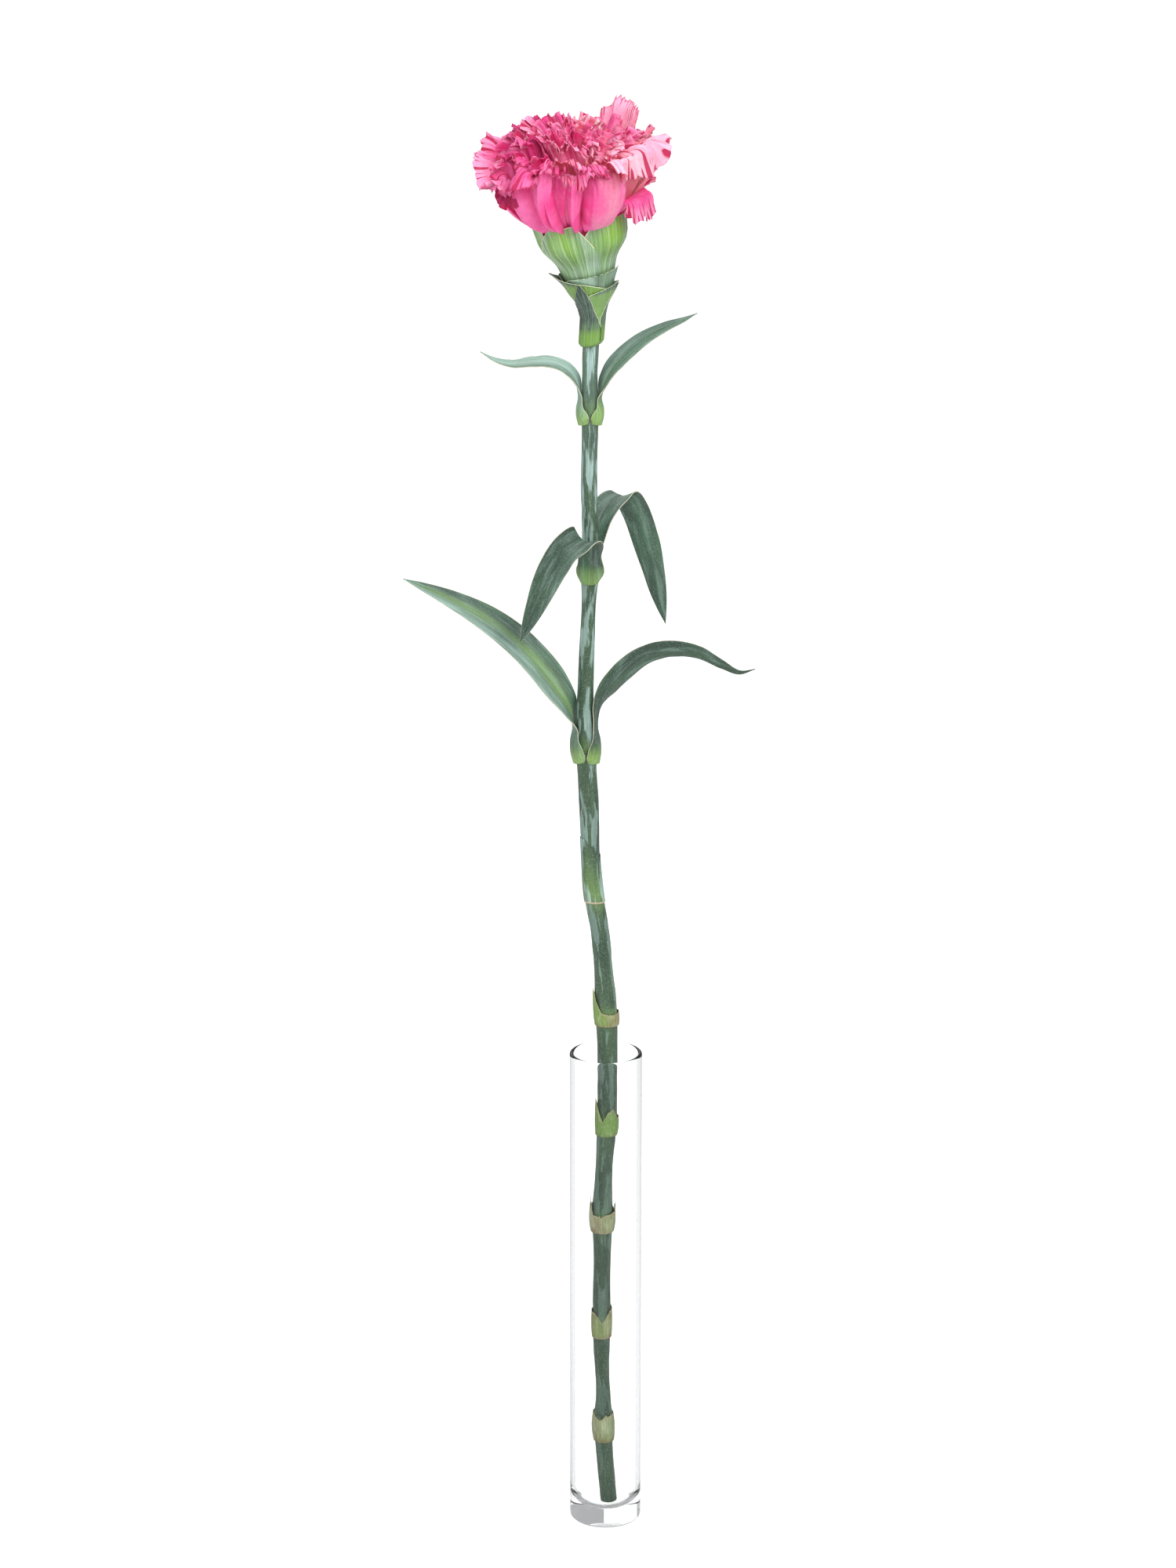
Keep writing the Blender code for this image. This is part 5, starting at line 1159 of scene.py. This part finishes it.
def makeFloor(look):
    # a flat disc under the foot, with a faint mottle. It glows for the eye alone, so it looks evenly white
    turns = np.linspace(0.0, 2 * math.pi, look["floorSides"], endpoint=False)
    ring = np.stack([np.cos(turns), np.sin(turns), 0 * turns], -1) * look["floorRadius"]
    points = np.concatenate([[[0.0, 0.0, 0.0]], ring])
    points[:, 2] = -look["floorGap"]
    mesh = bpy.data.meshes.new("studioFloor")
    first = np.arange(look["floorSides"])
    faces = np.stack([0 * first, first + 1, (first + 1) % look["floorSides"] + 1], -1)
    mesh.from_pydata(points.tolist(), [], faces.tolist())
    floor = bpy.data.objects.new("studioFloor", mesh)
    bpy.context.scene.collection.objects.link(floor)
    made, tree, shader = newMaterial("paleFloor")
    pale, paler, seen = look["floorColour"] - 0.01, look["floorColour"] + 0.01, look["floorSeen"]
    direct = directView(tree, addNode(tree, "ShaderNodeLightPath"))
    mottle = mixColour(tree, (pale, pale, pale), (paler, paler, paler), objectNoise(tree, 3.0, 2.0))
    wire(tree, (mixColour(tree, mottle, (seen, seen, seen), direct), shader.inputs["Base Color"]),
         (direct, shader.inputs["Emission Color"]))
    setInputs(shader, {"Roughness": 0.9, "Specular IOR Level": 0.1, "Emission Strength": look["floorGlow"]})
    mesh.materials.append(made)
    return floor


makeFloor(stageLook)


def makeWorld(look):
    # even studio light, seen as white by the camera and as a soft grey by everything else
    world = bpy.data.worlds.new("studioWorld")
    bpy.context.scene.world = world
    world.use_nodes = True
    tree = world.node_tree
    tree.nodes.clear()
    seen = setInputs(addNode(tree, "ShaderNodeBackground"), {"Color": (1.0, 1.0, 1.0, 1.0), "Strength": 1.0})
    lit = setInputs(addNode(tree, "ShaderNodeBackground"), {"Color": (0.97, 0.98, 1.0, 1.0)})
    path = addNode(tree, "ShaderNodeLightPath")
    reflected = mathNode(tree, "GREATER_THAN", path.outputs["Glossy Depth"], 0.5)
    strength = rangeNode(tree, reflected, 0.0, 1.0, look["worldLight"], look["glossLight"])
    mix, out = addNode(tree, "ShaderNodeMixShader"), addNode(tree, "ShaderNodeOutputWorld")
    wire(tree, (strength, lit.inputs["Strength"]), (directView(tree, path), mix.inputs[0]),
         (lit.outputs[0], mix.inputs[1]), (seen.outputs[0], mix.inputs[2]), (mix.outputs[0], out.inputs[0]))


makeWorld(stageLook)

# soft square lights: places, aims and sizes in metres
lights = {
    "keyRight": {"at": (0.45, -1.00, 1.10), "aim": (0.0, 0.0, 0.40), "size": 0.9, "watts": 15.0},
    "fillLeft": {"at": (-0.95, -0.60, 0.85), "aim": (0.0, 0.0, 0.35), "size": 1.0, "watts": 4.5},
    "topSoft": {"at": (0.0, 0.10, 1.45), "aim": (0.0, 0.0, 0.40), "size": 0.9, "watts": 7.0},
    "rearSoft": {"at": (-0.35, 1.0, 0.95), "aim": (0.0, 0.0, 0.42), "size": 0.9, "watts": 3.0},
}


def aimAt(item, place, aim):
    # -Z of the item looks from place towards aim, with +Y as near to up as it can be
    item.location = place
    item.rotation_euler = (Vector(aim) - Vector(place)).to_track_quat("-Z", "Y").to_euler()


for name, look in lights.items():
    light = bpy.data.lights.new(name, "AREA")
    light.shape = "SQUARE"
    light.size = look["size"]
    light.energy = look["watts"]
    lamp = bpy.data.objects.new(name, light)
    bpy.context.scene.collection.objects.link(lamp)
    aimAt(lamp, look["at"], look["aim"])

cameraSetup = {"at": (-6.38, -1190.0, 595.0), "pitch": 14.87, "lens": 80.77}
camera = bpy.data.cameras.new("frontCamera")
camera.lens = cameraSetup["lens"]
camera.sensor_width = 36.0
camera.sensor_fit = "AUTO"
camera.clip_end = 100.0
eye = bpy.data.objects.new("frontCamera", camera)
eye.location = [value * mm for value in cameraSetup["at"]]
eye.rotation_euler = (math.radians(90.0 - cameraSetup["pitch"]), 0.0, 0.0)
bpy.context.scene.collection.objects.link(eye)
bpy.context.scene.camera = eye
bpy.context.scene.view_settings.view_transform = "Standard"
bpy.context.view_layer.update()
print("stage made")
